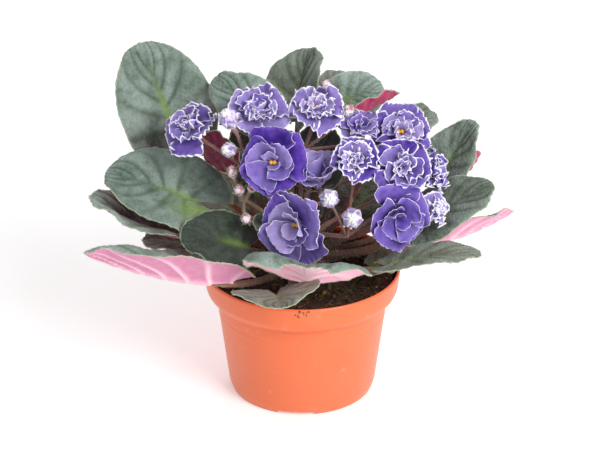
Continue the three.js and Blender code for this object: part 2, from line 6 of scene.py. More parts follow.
# %% Load the measured solids
import math
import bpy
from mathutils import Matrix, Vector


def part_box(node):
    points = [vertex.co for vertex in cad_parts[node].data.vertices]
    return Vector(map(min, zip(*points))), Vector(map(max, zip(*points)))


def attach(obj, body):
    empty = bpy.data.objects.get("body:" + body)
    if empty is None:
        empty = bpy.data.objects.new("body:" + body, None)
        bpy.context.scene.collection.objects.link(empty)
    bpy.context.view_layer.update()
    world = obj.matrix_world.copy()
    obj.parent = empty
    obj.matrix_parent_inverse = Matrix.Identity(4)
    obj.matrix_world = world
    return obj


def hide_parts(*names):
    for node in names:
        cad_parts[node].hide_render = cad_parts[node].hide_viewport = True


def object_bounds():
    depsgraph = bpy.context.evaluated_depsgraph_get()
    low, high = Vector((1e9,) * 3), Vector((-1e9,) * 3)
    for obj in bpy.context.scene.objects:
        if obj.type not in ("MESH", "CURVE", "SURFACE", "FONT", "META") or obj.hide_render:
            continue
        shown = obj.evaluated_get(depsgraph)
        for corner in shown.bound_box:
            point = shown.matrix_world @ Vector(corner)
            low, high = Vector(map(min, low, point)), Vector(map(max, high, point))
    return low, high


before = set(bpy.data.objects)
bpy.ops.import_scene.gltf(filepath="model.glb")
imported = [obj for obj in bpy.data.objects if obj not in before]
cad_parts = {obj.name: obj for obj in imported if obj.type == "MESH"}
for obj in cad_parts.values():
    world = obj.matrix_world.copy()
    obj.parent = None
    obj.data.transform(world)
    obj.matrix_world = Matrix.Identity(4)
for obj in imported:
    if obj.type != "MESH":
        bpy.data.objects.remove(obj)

from types import SimpleNamespace

import bpy
import numpy as np
from mathutils import Euler, Vector, noise

SOLID_BOX = [list(corner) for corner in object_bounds()]
print("solids:", len(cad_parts), "box:", SOLID_BOX)

# %% [markdown]
# ## Where things are
# The tables of this lesson are in millimetres from the axis of the pot, with z up and the front of the plant
# towards -y. The frame has its origin under the middle of the whole plant, so the pot's own box gives the
# step between the two.

# %% Millimetres from the pot's axis
MM = 0.001
POT_LOW, POT_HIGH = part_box("pot")
AXIS = np.array([(POT_LOW.x + POT_HIGH.x) / 2, (POT_LOW.y + POT_HIGH.y) / 2, 0.0])


def in_frame(points):
    """Points in millimetres from the pot's axis, as metres in the frame."""
    return np.asarray(points, float) * MM + AXIS


print("the pot's axis is at", AXIS.round(4))

# %% [markdown]
# ## Camera
# A long lens, held about a metre and a half away and looking down by 26 degrees, keeps the rim of the pot a
# flat ellipse.

# %% Place the camera
CAMERA_PLACE = (-1.3, -1352.7, 757.1)
CAMERA_AIM = (-1.3, 0.0, 109.0)
LENS = 146.4
SENSOR = 36.0


def place_object(name, data):
    """A new object of the scene, from its mesh, lamp or camera."""
    made = bpy.data.objects.new(name, data)
    bpy.context.scene.collection.objects.link(made)
    return made


def towards(place, target):
    """The turn that points a camera or a lamp at its target."""
    return (Vector(target) - Vector(place)).to_track_quat("-Z", "Y").to_euler()


camera = place_object("camera", bpy.data.cameras.new("camera"))
camera.location = in_frame(CAMERA_PLACE)
camera.rotation_euler = towards(CAMERA_PLACE, CAMERA_AIM)
camera.data.lens = LENS
camera.data.sensor_width = SENSOR
bpy.context.scene.camera = camera
print("camera at", tuple(round(c, 3) for c in camera.location))

# %% [markdown]
# ## Small sums on arrays of points
# Leaves and petals are worked out by the thousand points at a time, so the usual steps (a unit vector, a
# smooth change, a repeatable draw) are written once for whole arrays.


# %% Small helpers
def unit(vectors):
    """Vectors of length 1."""
    vectors = np.asarray(vectors, float)
    return vectors / np.linalg.norm(vectors, axis=-1, keepdims=True)


def smooth(value, low, high):
    """0 below low, 1 above high, and an easy change between them."""
    t = np.clip((value - low) / (high - low), 0, 1)
    return t * t * (3 - 2 * t)


def bump(distance, reach):
    """1 at no distance, and next to nothing beyond twice the reach."""
    return np.exp(-((distance / reach) ** 2))


def draw(seed, n):
    """A repeatable draw between 0 and 1."""
    x = math.sin(seed * 12.9898 + n * 78.233) * 43758.5453
    return x - math.floor(x)


def swing(seed, n):
    """The same draw, between -1 and 1."""
    return 2 * draw(seed, n) - 1


def on_circle(radius, angle, height):
    """A place round the z axis, at an angle in radians."""
    return np.array([radius * math.cos(angle), radius * math.sin(angle), height])


print("draws:", [round(draw(7, n), 3) for n in range(3)])

# %% [markdown]
# ## From points to a piece
# A piece is gathered from several closed forms, such as a blade and its petiole. Next to each point it keeps
# a few measures, such as the distance to the edge of the petal, and the finishes read those measures. That
# ties a colour to the form itself, and it holds from every side.


# %% Gather forms into one piece
class Skin:
    """Points, faces and measures that will be one mesh."""

    def __init__(self):
        self.points = []
        self.faces = []
        self.measures = []
        self.count = 0

    def add(self, points, faces, **measures):
        points = np.asarray(points, float).reshape(-1, 3)
        if isinstance(faces, np.ndarray):
            faces = faces.tolist()
        self.faces += [[i + self.count for i in face] for face in faces]
        self.points.append(points)
        self.measures.append((len(points), measures))
        self.count += len(points)


def new_mesh(name, points, faces):
    """A mesh from places in metres and the faces between them."""
    mesh = bpy.data.meshes.new(name)
    mesh.from_pydata(points, [], faces)
    return mesh


def make_piece(name, skin, finish, node=None):
    """One mesh object from a skin, which rides on the plant and may stand for a solid of the frame."""
    points = in_frame(np.concatenate(skin.points))
    mesh = new_mesh(name, points.tolist(), skin.faces)
    for measure in sorted({key for _, measures in skin.measures for key in measures}):
        parts = [np.broadcast_to(m.get(measure, 0.0), count) for count, m in skin.measures]
        layer = mesh.attributes.new(measure, "FLOAT", "POINT")
        layer.data.foreach_set("value", np.concatenate(parts).astype(np.float32))
    mesh.polygons.foreach_set("use_smooth", [True] * len(mesh.polygons))
    mesh.materials.append(finish)
    piece = place_object(name, mesh)
    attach(piece, "root")
    out = 0.0
    if node:
        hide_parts(node)
        low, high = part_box(node)
        out = max((np.array(low) - points.min(0)).max(), (points.max(0) - np.array(high)).max()) / MM
    triangles = sum(len(face) - 2 for face in skin.faces)
    print(f"{name}: {triangles} triangles, {out:.1f} mm outside its solid")
    return piece


# %% [markdown]
# ## Finishes as sums
# A finish mixes measures and noises. Written with nodes by hand, a sum such as 1 - edge * 0.3 takes two
# nodes and three links. Here a Signal wraps a socket, so the sum is written as a sum and adds its own nodes.
# A finish is then a stack of layers: a first colour, and over it one colour after another, each by a signal.


# %% Signals and finishes
class Signal:
    """A number that runs through a finish."""

    def __init__(self, finish, socket):
        self.finish = finish
        self.socket = socket

    def __add__(self, other):
        return self.finish.math("ADD", self, other)

    def __sub__(self, other):
        return self.finish.math("SUBTRACT", self, other)

    def __rsub__(self, other):
        return self.finish.math("SUBTRACT", other, self)

    def __mul__(self, other):
        return self.finish.math("MULTIPLY", self, other)

    __radd__ = __add__
    __rmul__ = __mul__


def linear(hex_colour):
    """A colour such as 5a44b4, as the linear numbers that a shader wants."""
    channels = [int(hex_colour[i:i + 2], 16) / 255 for i in (0, 2, 4)]
    return tuple(((c + 0.055) / 1.055) ** 2.4 if c > 0.04045 else c / 12.92 for c in channels) + (1.0,)


class Finish:
    """A material while it is being put together."""

    def __init__(self, name, **constants):
        self.material = bpy.data.materials.new(name)
        self.material.use_nodes = True
        self.nodes = self.material.node_tree.nodes
        self.shader = self.nodes["Principled BSDF"]
        for socket, value in constants.items():
            self.shader.inputs[socket.replace("_", " ")].default_value = value

    def node(self, kind, settings, inputs):
        """A node of a kind, with its settings made first and then its sockets filled."""
        made = self.nodes.new(kind)
        for setting, value in settings.items():
            setattr(made, setting, value)
        for socket, value in inputs.items():
            self.feed(made.inputs[socket], value)
        return made

    def feed(self, socket, value):
        """Links a signal or a socket to a socket, or sets its value."""
        source = value.socket if isinstance(value, Signal) else value
        if isinstance(source, bpy.types.NodeSocket):
            self.material.node_tree.links.new(source, socket)
        else:
            socket.default_value = source

    def math(self, operation, first, second):
        made = self.node("ShaderNodeMath", {"operation": operation}, {0: first, 1: second})
        return Signal(self, made.outputs[0])

    def measure(self, name):
        """A measure that the mesh keeps at its points."""
        made = self.node("ShaderNodeAttribute", {"attribute_name": name}, {})
        return Signal(self, made.outputs["Fac"])

    def measures(self, *names):
        return [self.measure(name) for name in names]

    def noise(self, size_mm, detail=2.0, place=None):
        """A noise between 0 and 1 with features of about this size."""
        place = place or self.place()
        made = self.node(
            "ShaderNodeTexNoise", {}, {"Vector": place, "Scale": 1 / (size_mm * MM), "Detail": detail}
        )
        return Signal(self, made.outputs["Fac"])

    def cells(self, size_mm):
        """0 at the middles of small cells, rising to their borders."""
        made = self.node(
            "ShaderNodeTexVoronoi", {"feature": "F1"}, {"Vector": self.place(), "Scale": 1 / (size_mm * MM)}
        )
        return Signal(self, made.outputs["Distance"])

    def place(self):
        return self.node("ShaderNodeTexCoord", {}, {}).outputs["Object"]

    def step(self, value, low, high):
        """0 below low, 1 above high, and an easy change between them."""
        made = self.node(
            "ShaderNodeMapRange",
            {"interpolation_type": "SMOOTHSTEP"},
            {"Value": value, "From Min": low, "From Max": high},
        )
        return Signal(self, made.outputs["Result"])

    def blend(self, factor, first, second):
        """A colour that goes from the first to the second. A colour is six hex digits or a socket."""
        colours = [linear(c) if isinstance(c, str) else c for c in (first, second)]
        made = self.node("ShaderNodeMix", {"data_type": "RGBA"}, {0: factor, 6: colours[0], 7: colours[1]})
        return made.outputs[2]

    def layers(self, colour, *laid):
        """The colour with others laid over it in turn, each as far as its own signal says."""
        for factor, over in laid:
            colour = self.blend(factor, colour, over)
        return colour

    def bumps(self, height, distance_mm, strength=1.0):
        """Fine relief, as a normal."""
        made = self.node(
            "ShaderNodeBump", {}, {"Height": height, "Distance": distance_mm * MM, "Strength": strength}
        )
        return made.outputs["Normal"]

    def paint(self, **sockets):
        """Feeds the shader's varying sockets and gives the material back."""
        for socket, value in sockets.items():
            self.feed(self.shader.inputs[socket.replace("_", " ")], value)
        return self.material


print("signals and finishes are ready")

# %% [markdown]
# ## The finish of the pot
# The pot is injection-moulded polypropylene: an even orange with a satin shine, slightly cloudy from the
# regrind in it, with a fine grain from the mould and a little dust near its foot. Its inner wall under the
# rim is painted dark brown, as painted shade from the leaves above it.

# %% Orange plastic
pot_finish = Finish("orange_plastic", IOR=1.49)
cloud = pot_finish.noise(28.0, 3.0)
grain = pot_finish.noise(0.7, 2.0)
scuff = pot_finish.step(pot_finish.noise(9.0, 6.0), 0.62, 0.78)
body_colour = pot_finish.layers(
    pot_finish.blend(cloud, "e0693a", "e97647"),
    (scuff * 0.25, "ffb893"),  # scuffs
    (pot_finish.measure("dust") * cloud * 0.5, "a8755a"),  # dust near the foot
    (pot_finish.measure("stain") * 0.85, "3a2118"),  # painted shade on the inner wall under the rim
)
ORANGE_PLASTIC = pot_finish.paint(
    Base_Color=body_colour,
    Roughness=0.3 + cloud * 0.12 + scuff * 0.15,
    Normal=pot_finish.bumps(grain, 0.05, 0.35),
)
print("finish:", ORANGE_PLASTIC.name)

# %% [markdown]
# ## The pot
# The real pot is one thin shell of revolution. A profile of radii and heights is turned round the axis with
# rounded corners, and the drain holes and the notches between the feet are then cut with a Boolean modifier,
# which is simpler and cleaner than weaving the holes into the turned mesh by hand.

# %% Turn the pot
POT = {
    "foot": 44.0, "top": 52.4, "collar": 62.0, "rim": 61.0, "height": 81.5, "wall": 1.4,
    "floor_under": 2.4, "floor_top": 4.2, "notch": 23.0, "drain": 3.5, "drain_circle": 27.0,
}
POT_SEGMENTS = 144
DRAIN_SEGMENTS = 32
POT_CORNER = 0.9
SHARP_ANGLE = 40
NOTCHES = 4
DRAINS = 6


def rounded(profile, radius, steps=4):
    """The profile with its corners cut into short arcs of about this radius."""
    profile = np.array(profile, float)
    made = [profile[0]]
    for before, corner, after in zip(profile, profile[1:], profile[2:]):
        reach = min(radius, np.linalg.norm(before - corner) * 0.45, np.linalg.norm(after - corner) * 0.45)
        start = corner + unit(before - corner) * reach
        end = corner + unit(after - corner) * reach
        for t in np.linspace(0, 1, steps):
            made.append((1 - t) ** 2 * start + 2 * t * (1 - t) * corner + t * t * end)
    made.append(profile[-1])
    return np.array(made)


def ring_faces(rings, sides):
    """The quads between rings of points that follow one another."""
    low = np.arange(sides)
    high = np.roll(low, -1)
    band = np.stack([low, high, high + sides, low + sides], -1)
    return np.concatenate([band + k * sides for k in range(rings - 1)]).tolist()


def turned(profile, segments):
    """Points and faces of a profile turned about z. Its ends lie on the axis."""
    turn = np.linspace(0, 2 * math.pi, segments, endpoint=False)
    inner = np.array(profile[1:-1])
    rings = [np.stack([r * np.cos(turn), r * np.sin(turn), np.full(segments, z)], -1) for r, z in inner]
    points = np.concatenate(rings + [[[0, 0, profile[0][1]], [0, 0, profile[-1][1]]]])
    faces = ring_faces(len(rings), segments)
    bottom = len(points) - 2
    last = (len(rings) - 1) * segments
    for j in range(segments):
        k = (j + 1) % segments
        faces.append([bottom, k, j])
        faces.append([bottom + 1, last + j, last + k])
    return points, faces


def pot_profile():
    """Radii and heights from the middle of the underside, up the outside and down the inside."""
    foot, top, collar, rim, height, wall = (
        POT[key] for key in ("foot", "top", "collar", "rim", "height", "wall")
    )
    under = [[0, POT["floor_under"]], [foot - 4.5, POT["floor_under"]], [foot - 3.5, 0]]
    outside = [
        [foot, 0],
        [foot + 2, 6],
        [top - 0.8, 50],
        [top - 0.4, 51.5],
        [top - 0.4, 54.5],
        [top, 55.5],
        [top + 0.4, collar],
        [rim - 5.4, collar + 1.4],
        [rim - 2.6, collar + 4.2],
        [rim - 1.4, collar + 7],
        [rim, height - 1],
        [rim - 0.6, height],
    ]
    inside = [
        [rim - 1.6, height],
        [rim - 1.98, height - 3],
        [rim - 1.4 - wall, collar + 10],
        [rim - 2.4 - wall, collar + 6],
        [top - wall, collar + 1],
        [top - 1.2 - wall, 50],
        [foot + 1.6 - wall, POT["floor_top"]],
        [0, POT["floor_top"]],
    ]
    return rounded(under + outside + inside, POT_CORNER)


def cutters():
    """A mesh object with the notch blocks and the drain pins."""
    cut = Skin()
    half = np.array([[x, y, z] for x in (-1, 1) for y in (-1, 1) for z in (-1, 1)])
    for k in range(NOTCHES):
        out = on_circle(1, math.radians(90 * k - 95), 0)
        side = np.array([-out[1], out[0], 0])
        block = out * POT["foot"] + half[:, :1] * out * 10 + half[:, 1:2] * side * POT["notch"] / 2
        block[:, 2] += half[:, 2] * (POT["floor_under"] - 0.2)
        cut.add(block, [[0, 1, 3, 2], [4, 6, 7, 5], [0, 4, 5, 1], [2, 3, 7, 6], [0, 2, 6, 4], [1, 5, 7, 3]])
    points, faces = turned([[0, -4], [POT["drain"], -4], [POT["drain"], 8], [0, 8]], DRAIN_SEGMENTS)
    for k in range(DRAINS):
        cut.add(points + on_circle(POT["drain_circle"], math.radians(60 * k + 30), 0), faces)
    places = in_frame(np.concatenate(cut.points))
    return place_object("cutters", new_mesh("cutters", places.tolist(), cut.faces))


def cut_away(piece, cutter):
    """Cuts the cutter out of the piece for good, and removes the cutter."""
    step = piece.modifiers.new("cut", "BOOLEAN")
    step.operation = "DIFFERENCE"
    step.solver = "EXACT"
    step.object = cutter
    graph = bpy.context.evaluated_depsgraph_get()
    mesh = bpy.data.meshes.new_from_object(piece.evaluated_get(graph))
    piece.modifiers.clear()
    piece.data = mesh
    bpy.data.objects.remove(cutter)


def make_pot():
    points, faces = turned(pot_profile(), POT_SEGMENTS)
    skin = Skin()
    inside = (np.hypot(points[:, 0], points[:, 1]) < POT["rim"] - 1.7) & (points[:, 2] > POT["collar"] + 8)
    # painted shade on the inner wall, from just under the rim down towards the peat
    stain = inside * smooth(POT["height"] - points[:, 2], 0.5, 3.5)
    skin.add(points, faces, dust=smooth(-points[:, 2], -16, 0), stain=stain)
    pot = make_piece("nursery_pot", skin, ORANGE_PLASTIC, "pot")
    cut_away(pot, cutters())
    pot.data.set_sharp_from_angle(angle=math.radians(SHARP_ANGLE))
    return pot


pot = make_pot()
print("pot faces after cutting:", len(pot.data.polygons))

# %% [markdown]
# ## Peat
# The pot is filled to just under its rim with moist peat: dark crumbs, a few pale roots and straws, and some
# yellow-green moss. The plug of soil is one turned body with a rough top, and several hundred crumbs and
# fibres sit on it, sunk in a little, so that the edge between them stays dark.

# %% Peat finish
peat_finish = Finish("moist_peat", Specular_IOR_Level=0.25)
clod = peat_finish.noise(2.2, 4.0)
fine = peat_finish.noise(0.6, 3.0)
peat_colour = peat_finish.layers(
    peat_finish.blend(peat_finish.step(clod * 0.6 + fine * 0.4, 0.35, 0.68), "1a110b", "4a3524"),
    (peat_finish.measure("straw"), "8c6f45"),
    (peat_finish.measure("moss"), "8e8a2c"),
)
MOIST_PEAT = peat_finish.paint(
    Base_Color=peat_colour,
    Roughness=0.75 + fine * 0.25,
    Normal=peat_finish.bumps(clod + fine * 0.5, 0.5, 0.8),
)
print("finish:", MOIST_PEAT.name)

# %% [markdown]
# ## Round stems
# Straws in the peat, petioles and flower stalks are all thin round stems. A curve with a bevel would do, but
# a tube worked out point by point also tells the hairs which way is outward.


# %% Tubes along a line
def smooth_line(points, count):
    """Evenly spaced places on a smooth curve through the points."""
    points = np.array(points, float)
    gaps = np.linalg.norm(np.diff(points, axis=0), axis=1, keepdims=True) ** 0.5
    slopes = np.diff(points, axis=0) / gaps
    tangents = np.zeros_like(points)
    tangents[0] = slopes[0]
    tangents[-1] = slopes[-1]
    for i in range(1, len(points) - 1):
        across = (points[i + 1] - points[i - 1]) / (gaps[i - 1] + gaps[i])
        tangents[i] = slopes[i - 1] + slopes[i] - across
    dense = []
    for i in range(len(points) - 1):
        t = np.linspace(0, 1, 24, endpoint=i == len(points) - 2)[:, None]
        dense.append(
            (2 * t**3 - 3 * t**2 + 1) * points[i]
            + (t**3 - 2 * t**2 + t) * tangents[i] * gaps[i]
            + (3 * t**2 - 2 * t**3) * points[i + 1]
            + (t**3 - t**2) * tangents[i + 1] * gaps[i]
        )
    dense = np.concatenate(dense)
    reach = np.concatenate([[0], np.cumsum(np.linalg.norm(np.diff(dense, axis=0), axis=1))])
    wanted = np.linspace(0, reach[-1], count)
    return np.stack([np.interp(wanted, reach, dense[:, k]) for k in range(3)], -1)


def capped_faces(rings, sides):
    """The quads between rings of points, and a flat cap on each end."""
    first = list(range(sides))
    last = [i + (rings - 1) * sides for i in first]
    return ring_faces(rings, sides) + [first[::-1], last]


def tube(points, radii, sides, steps):
    """Points, faces and outward directions of a round stem whose radius changes along its line."""
    line = smooth_line(points, steps + 1)
    ahead = unit(np.gradient(line, axis=0))
    radius = np.interp(np.linspace(0, len(radii) - 1, steps + 1), np.arange(len(radii)), radii)
    first = np.cross(ahead[0], [0.3, 0.2, 1.0] if abs(ahead[0][2]) < 0.8 else [1.0, 0.2, 0.1])
    turn = np.linspace(0, 2 * math.pi, sides, endpoint=False)[:, None]
    places = []
    outward = []
    for place, direction, r in zip(line, ahead, radius):
        first = unit(first - direction * np.dot(first, direction))
        second = np.cross(direction, first)
        ring = np.cos(turn) * first + np.sin(turn) * second
        outward.append(ring)
        places.append(place + ring * r)
    return np.concatenate(places), capped_faces(steps + 1, sides), np.concatenate(outward)


print("the middle of a bent line:", smooth_line([[0, 0, 0], [0, 0, 10], [0, 10, 10]], 3)[1].round(2))

# %% Peat plug, crumbs and fibres
SOIL_TOP = 76.5
SOIL_GAP = 0.3
SOIL_SEGMENTS = 168
SOIL_EDGE = POT["rim"] - 2.4 - POT["wall"] - SOIL_GAP
CROWN_RADIUS = 12.0
CRUMBS = 620
STRAWS = 110
RIM_CRUMBS = 16


def ball(rings, sides):
    """Points and faces of a unit ball."""
    polar = np.linspace(0, math.pi, rings + 1)[1:-1]
    profile = [[0, -1]] + [[math.sin(a), -math.cos(a)] for a in polar] + [[0, 1]]
    points, faces = turned(profile, sides)
    return np.array(points), faces


def soil_height(x, y):
    """Height of the peat at a place: broad humps and small clods."""
    place = Vector((x, y, 0.0))
    humps = noise.noise(place * 0.06) * 1.6
    clods = noise.fractal(place * 0.32, 1.0, 2.0, 3) * 1.1
    return SOIL_TOP + humps + clods


def add_crumbs(skin, rng):
    """Crumbs of many sizes, sunk in a little, some of them mossy."""
    crumb, crumb_faces = ball(5, 8)
    for _ in range(CRUMBS):
        angle = rng.uniform(0, 2 * math.pi)
        radius = SOIL_EDGE * math.sqrt(rng.uniform(0.05, 0.93))
        size = 0.45 + 1.5 * rng.random() ** 2.5
        lumps = 1 + 0.28 * rng.normal(size=(len(crumb), 1)).clip(-1.5, 1.5)
        shape = crumb * lumps * size * rng.uniform(0.6, 1.2, 3)
        turn = np.array(Euler(rng.uniform(0, 6, 3)).to_matrix())
        place = on_circle(radius, angle, 0)
        place[2] = soil_height(place[0], place[1]) + size * 0.25
        moss = float(rng.random() < 0.13) * rng.uniform(0.4, 0.9)
        skin.add(shape @ turn.T + place, crumb_faces, moss=moss, straw=0.25 * rng.random() ** 3)


def add_straws(skin, rng):
    """Thin pale straws and strands of moss that lie on the peat."""
    for _ in range(STRAWS):
        angle = rng.uniform(0, 2 * math.pi)
        radius = SOIL_EDGE * math.sqrt(rng.uniform(0.06, 0.85))
        x, y, _ = on_circle(radius, angle, 0)
        reach = rng.uniform(1.5, 6.0)
        way = rng.uniform(0, 2 * math.pi)
        line = []
        for t in (-0.5, 0.0, 0.5):
            px = x + reach * t * math.cos(way) + rng.normal() * 0.3
            py = y + reach * t * math.sin(way) + rng.normal() * 0.3
            line.append([px, py, min(soil_height(px, py) + 0.5 + rng.random() * 0.7, SOIL_TOP + 4)])
        thin = rng.uniform(0.1, 0.28)
        points, faces, _ = tube(line, [thin, thin, thin * 0.6], 5, 5)
        mossy = rng.random() < 0.35
        skin.add(points, faces, straw=0.0 if mossy else rng.uniform(0.4, 1.0), moss=0.8 if mossy else 0.0)


def make_soil(rng):
    top = [[r, SOIL_TOP] for r in np.linspace(SOIL_EDGE - 0.6, 1.5, 46)]
    side = [
        [0, POT["floor_top"] + SOIL_GAP],
        [POT["foot"] + 1.2 - POT["wall"] - SOIL_GAP, POT["floor_top"] + SOIL_GAP],
        [POT["top"] - 1.5 - POT["wall"] - SOIL_GAP, 50],
        [POT["top"] - POT["wall"] - 0.9, POT["collar"] + 1.2],
        [SOIL_EDGE - 0.8, POT["collar"] + 6.4],
        [SOIL_EDGE + 0.2, SOIL_TOP - 1.6],
    ]
    points, faces = turned(side + top + [[0, SOIL_TOP]], SOIL_SEGMENTS)
    for point in points:
        if point[2] > SOIL_TOP - 0.1:
            point[2] = soil_height(point[0], point[1])
    skin = Skin()
    skin.add(points, faces)
    add_crumbs(skin, rng)
    add_straws(skin, rng)
    return make_piece("peat", skin, MOIST_PEAT, "soil")


def make_rim_crumbs(rng):
    """A few crumbs that spilled over the front of the rim and stuck there."""
    skin = Skin()
    crumb, crumb_faces = ball(5, 8)
    for _ in range(RIM_CRUMBS):
        angle = math.radians(-90 + 3.2 * rng.normal())
        height = POT["height"] - 0.6 - 4.5 * rng.random() ** 1.6
        size = rng.uniform(0.3, 0.75)
        shape = crumb * (1 + 0.25 * rng.normal(size=(len(crumb), 1)).clip(-1.5, 1.5)) * size
        place = on_circle(POT["rim"] - 0.12 * (POT["height"] - height), angle, height)
        skin.add(shape + place, crumb_faces, straw=rng.uniform(0.4, 1.0))
    return make_piece("rim_crumbs", skin, MOIST_PEAT)


make_soil(np.random.default_rng(11))
make_rim_crumbs(np.random.default_rng(5))

# %% [markdown]
# ## Blades
# Leaves and petals are thin waved sheets, and one function can bend them all. It lays a sheet between a base
# and a tip, shapes its outline, arches it, folds its two halves up, and waves its edge. Measures go along
# with it: how far along the blade a point is, how far across, and how far it is from the edge.

# %% The middle surface of a blade
# As shares of the length: how high a blade arches, how far its tip droops, and how far its lobes reach back
# behind its foot. In millimetres: how high its broad waves and its frill are, how far apart the crimps of the
# frill are, and how deep its edge is nicked. In degrees: how far its sides curl up and its edges flare down.
# The number of waves is counted along each half. With a larger egg a blade is widest nearer the foot, and
# a larger start or end makes its foot or tip blunter.
LEAF_SHAPE = {
    "curl": 0, "arch": 0.05, "droop": 0, "wave": 1.4, "waves": 2.5, "lobe": 0.17, "egg": 0.13,
    "start": 0.35, "end": 0.3, "flare": (0, 0), "frill": 0.28, "crimp": 4.2, "nick": 0.13,
}
PETAL_SHAPE = {
    "arch": 0.07, "waves": 2, "lobe": 0, "start": 0.12, "end": 0.55, "flare": (0, 0), "crimp": 4.4,
    "nick": 0.22,
}


def blade_frame(s):
    """Length, and the directions along, out of the upper face, and to the right."""
    axis = s.tip - s.base
    length = np.linalg.norm(axis)
    axis = axis / length
    face = unit(s.face - np.dot(s.face, axis) * axis)
    return length, axis, face, np.cross(axis, face)


def outline(s, along):
    """Where the edge is at each share of the length: how far along, and how far out of 1."""
    turn = s.start + (math.pi - s.end - s.start) * along
    edge_along = (1 - s.lobe) / 2 - (1 + s.lobe) / 2 * np.cos(turn)
    return edge_along, np.sin(turn) * (1 + s.egg * np.cos(turn))


def blade_points(s, along, across):
    """The middle surface of a blade at shares of its length and of its half width."""
    length, axis, face, side = blade_frame(s)
    right = across >= 0
    t = np.abs(across)
    edge_along, edge_across = outline(s, along)
    rim = length * along + (1 - t) * edge_across * s.width / 2
    shake = np.sin(2 * math.pi * rim / s.crimp + s.phase + 1.7 * np.sin(rim / 6 + s.phase) + right * 2.1)
    shake += 0.5 * np.sin(2 * math.pi * rim / (0.57 * s.crimp) + s.phase * 5)
    near_edge = np.maximum(t**5, along**9)
    a = along + (edge_along - along) * t**1.3 + s.nick / length * near_edge * shake * smooth(along, 0.4, 0.9)
    b = edge_across * t * s.width / 2 + s.nick * t**6 * shake * smooth(along, 0.02, 0.2)

    inner = np.maximum(a, 0)
    rise = s.arch * length * 4 * inner * (1 - inner) - s.droop * length * inner**3
    slope = s.arch * 4 * (1 - 2 * inner) - 3 * s.droop * inner**2
    lift = unit(face - slope[..., None] * axis)

    fold = np.radians(np.where(right, s.fold[1], s.fold[0]))
    flare = np.radians(np.where(right, s.flare[1], s.flare[0]))
    lean = fold * (1 - 0.25 * along) + math.radians(s.curl) * t / 2 - flare * t**4
    swell = s.wave * t * t * np.minimum(1, 1.5 * along)
    ripple = swell * np.sin(along * s.waves * 2 * math.pi + s.phase + right * 1.9)
    ripple += swell / 2 * t * np.sin(along * s.waves * 3.7 * math.pi + s.phase * 2)
    ripple += s.frill * near_edge * np.minimum(1, 2.5 * along) * np.cos(
        2 * math.pi * rim / s.crimp + s.phase * 3 + 1.3 * np.sin(rim / 5 + s.phase)
    )
    sideways = np.where(right, 1, -1) * (b * np.cos(lean) - ripple * np.sin(lean))
    upwards = b * np.sin(lean) + ripple * np.cos(lean)
    place = s.base + (a * length)[..., None] * axis + rise[..., None] * face
    return place + sideways[..., None] * side + upwards[..., None] * lift


def blade_normals(s, along, across):
    """Which way the upper face looks at each point."""
    d = 0.012
    e = np.where(np.abs(across) < 0.06, 0.06, d)
    ahead = blade_points(s, np.minimum(along + d, 1), across)
    behind = blade_points(s, np.maximum(along - d, 0), across)
    right = blade_points(s, along, np.minimum(across + e, 1))
    left = blade_points(s, along, np.maximum(across - e, -1))
    return unit(np.cross(right - left, ahead - behind))


def sheet_faces(rows, columns):
    """The quads of a thin sheet: its upper face, its lower face and its rim."""
    at = np.arange((rows + 1) * (columns + 1)).reshape(rows + 1, columns + 1)
    upper = np.stack([at[:-1, :-1], at[:-1, 1:], at[1:, 1:], at[1:, :-1]], -1).reshape(-1, 4)
    lower = upper[:, ::-1] + at.size
    loop = np.concatenate([at[:, -1], at[-1, -2::-1], at[-2::-1, 0], at[0, 1:]])
    p, q = loop[:-1], loop[1:]
    rim = np.stack([p, p + at.size, q + at.size, q], -1)
    return np.concatenate([upper, lower, rim])


def add_blade(skin, s, thickness, pitch, relief, rib, **measures):
    """Adds a blade as a closed sheet. Relief and rib give heights and thickness in millimetres."""
    length = np.linalg.norm(s.tip - s.base)
    rows = max(7, round(length / pitch))
    columns = 2 * max(4, round(s.width / 2 / pitch))
    u = np.linspace(0, 1, rows + 1)
    w = np.linspace(-1, 1, columns + 1)
    along, across = np.meshgrid(
        1 - (1 - u) ** 1.15, np.sign(w) * (1 - (1 - np.abs(w)) ** 1.25), indexing="ij"
    )
    middle = blade_points(s, along, across)
    normal = blade_normals(s, along, across)
    _, edge_across = outline(s, along)
    side_gap = (1 - np.abs(across)) * edge_across * s.width / 2
    edge = np.minimum(side_gap, (1 - along) * length)
    if s.closed:
        edge = np.minimum(edge, along * length + 0.5)
    half = thickness / 2 * (0.4 + 0.6 * smooth(edge, 0, 3))
    height = relief(along, across)
    upper = middle + normal * (height + half)[..., None]
    lower = middle + normal * (height - half - rib(along, across))[..., None]
    given = {key: np.tile(value(along, across).ravel(), 2) if callable(value) else value
             for key, value in measures.items()}
    skin.add(
        np.concatenate([upper.reshape(-1, 3), lower.reshape(-1, 3)]),
        sheet_faces(rows, columns),
        along=np.tile(along.ravel(), 2),
        across=np.tile(across.ravel(), 2),
        edge=np.tile(edge.ravel(), 2),
        below=np.repeat([0.0, 1.0], along.size),
        **given,
    )


print("blade functions are ready")
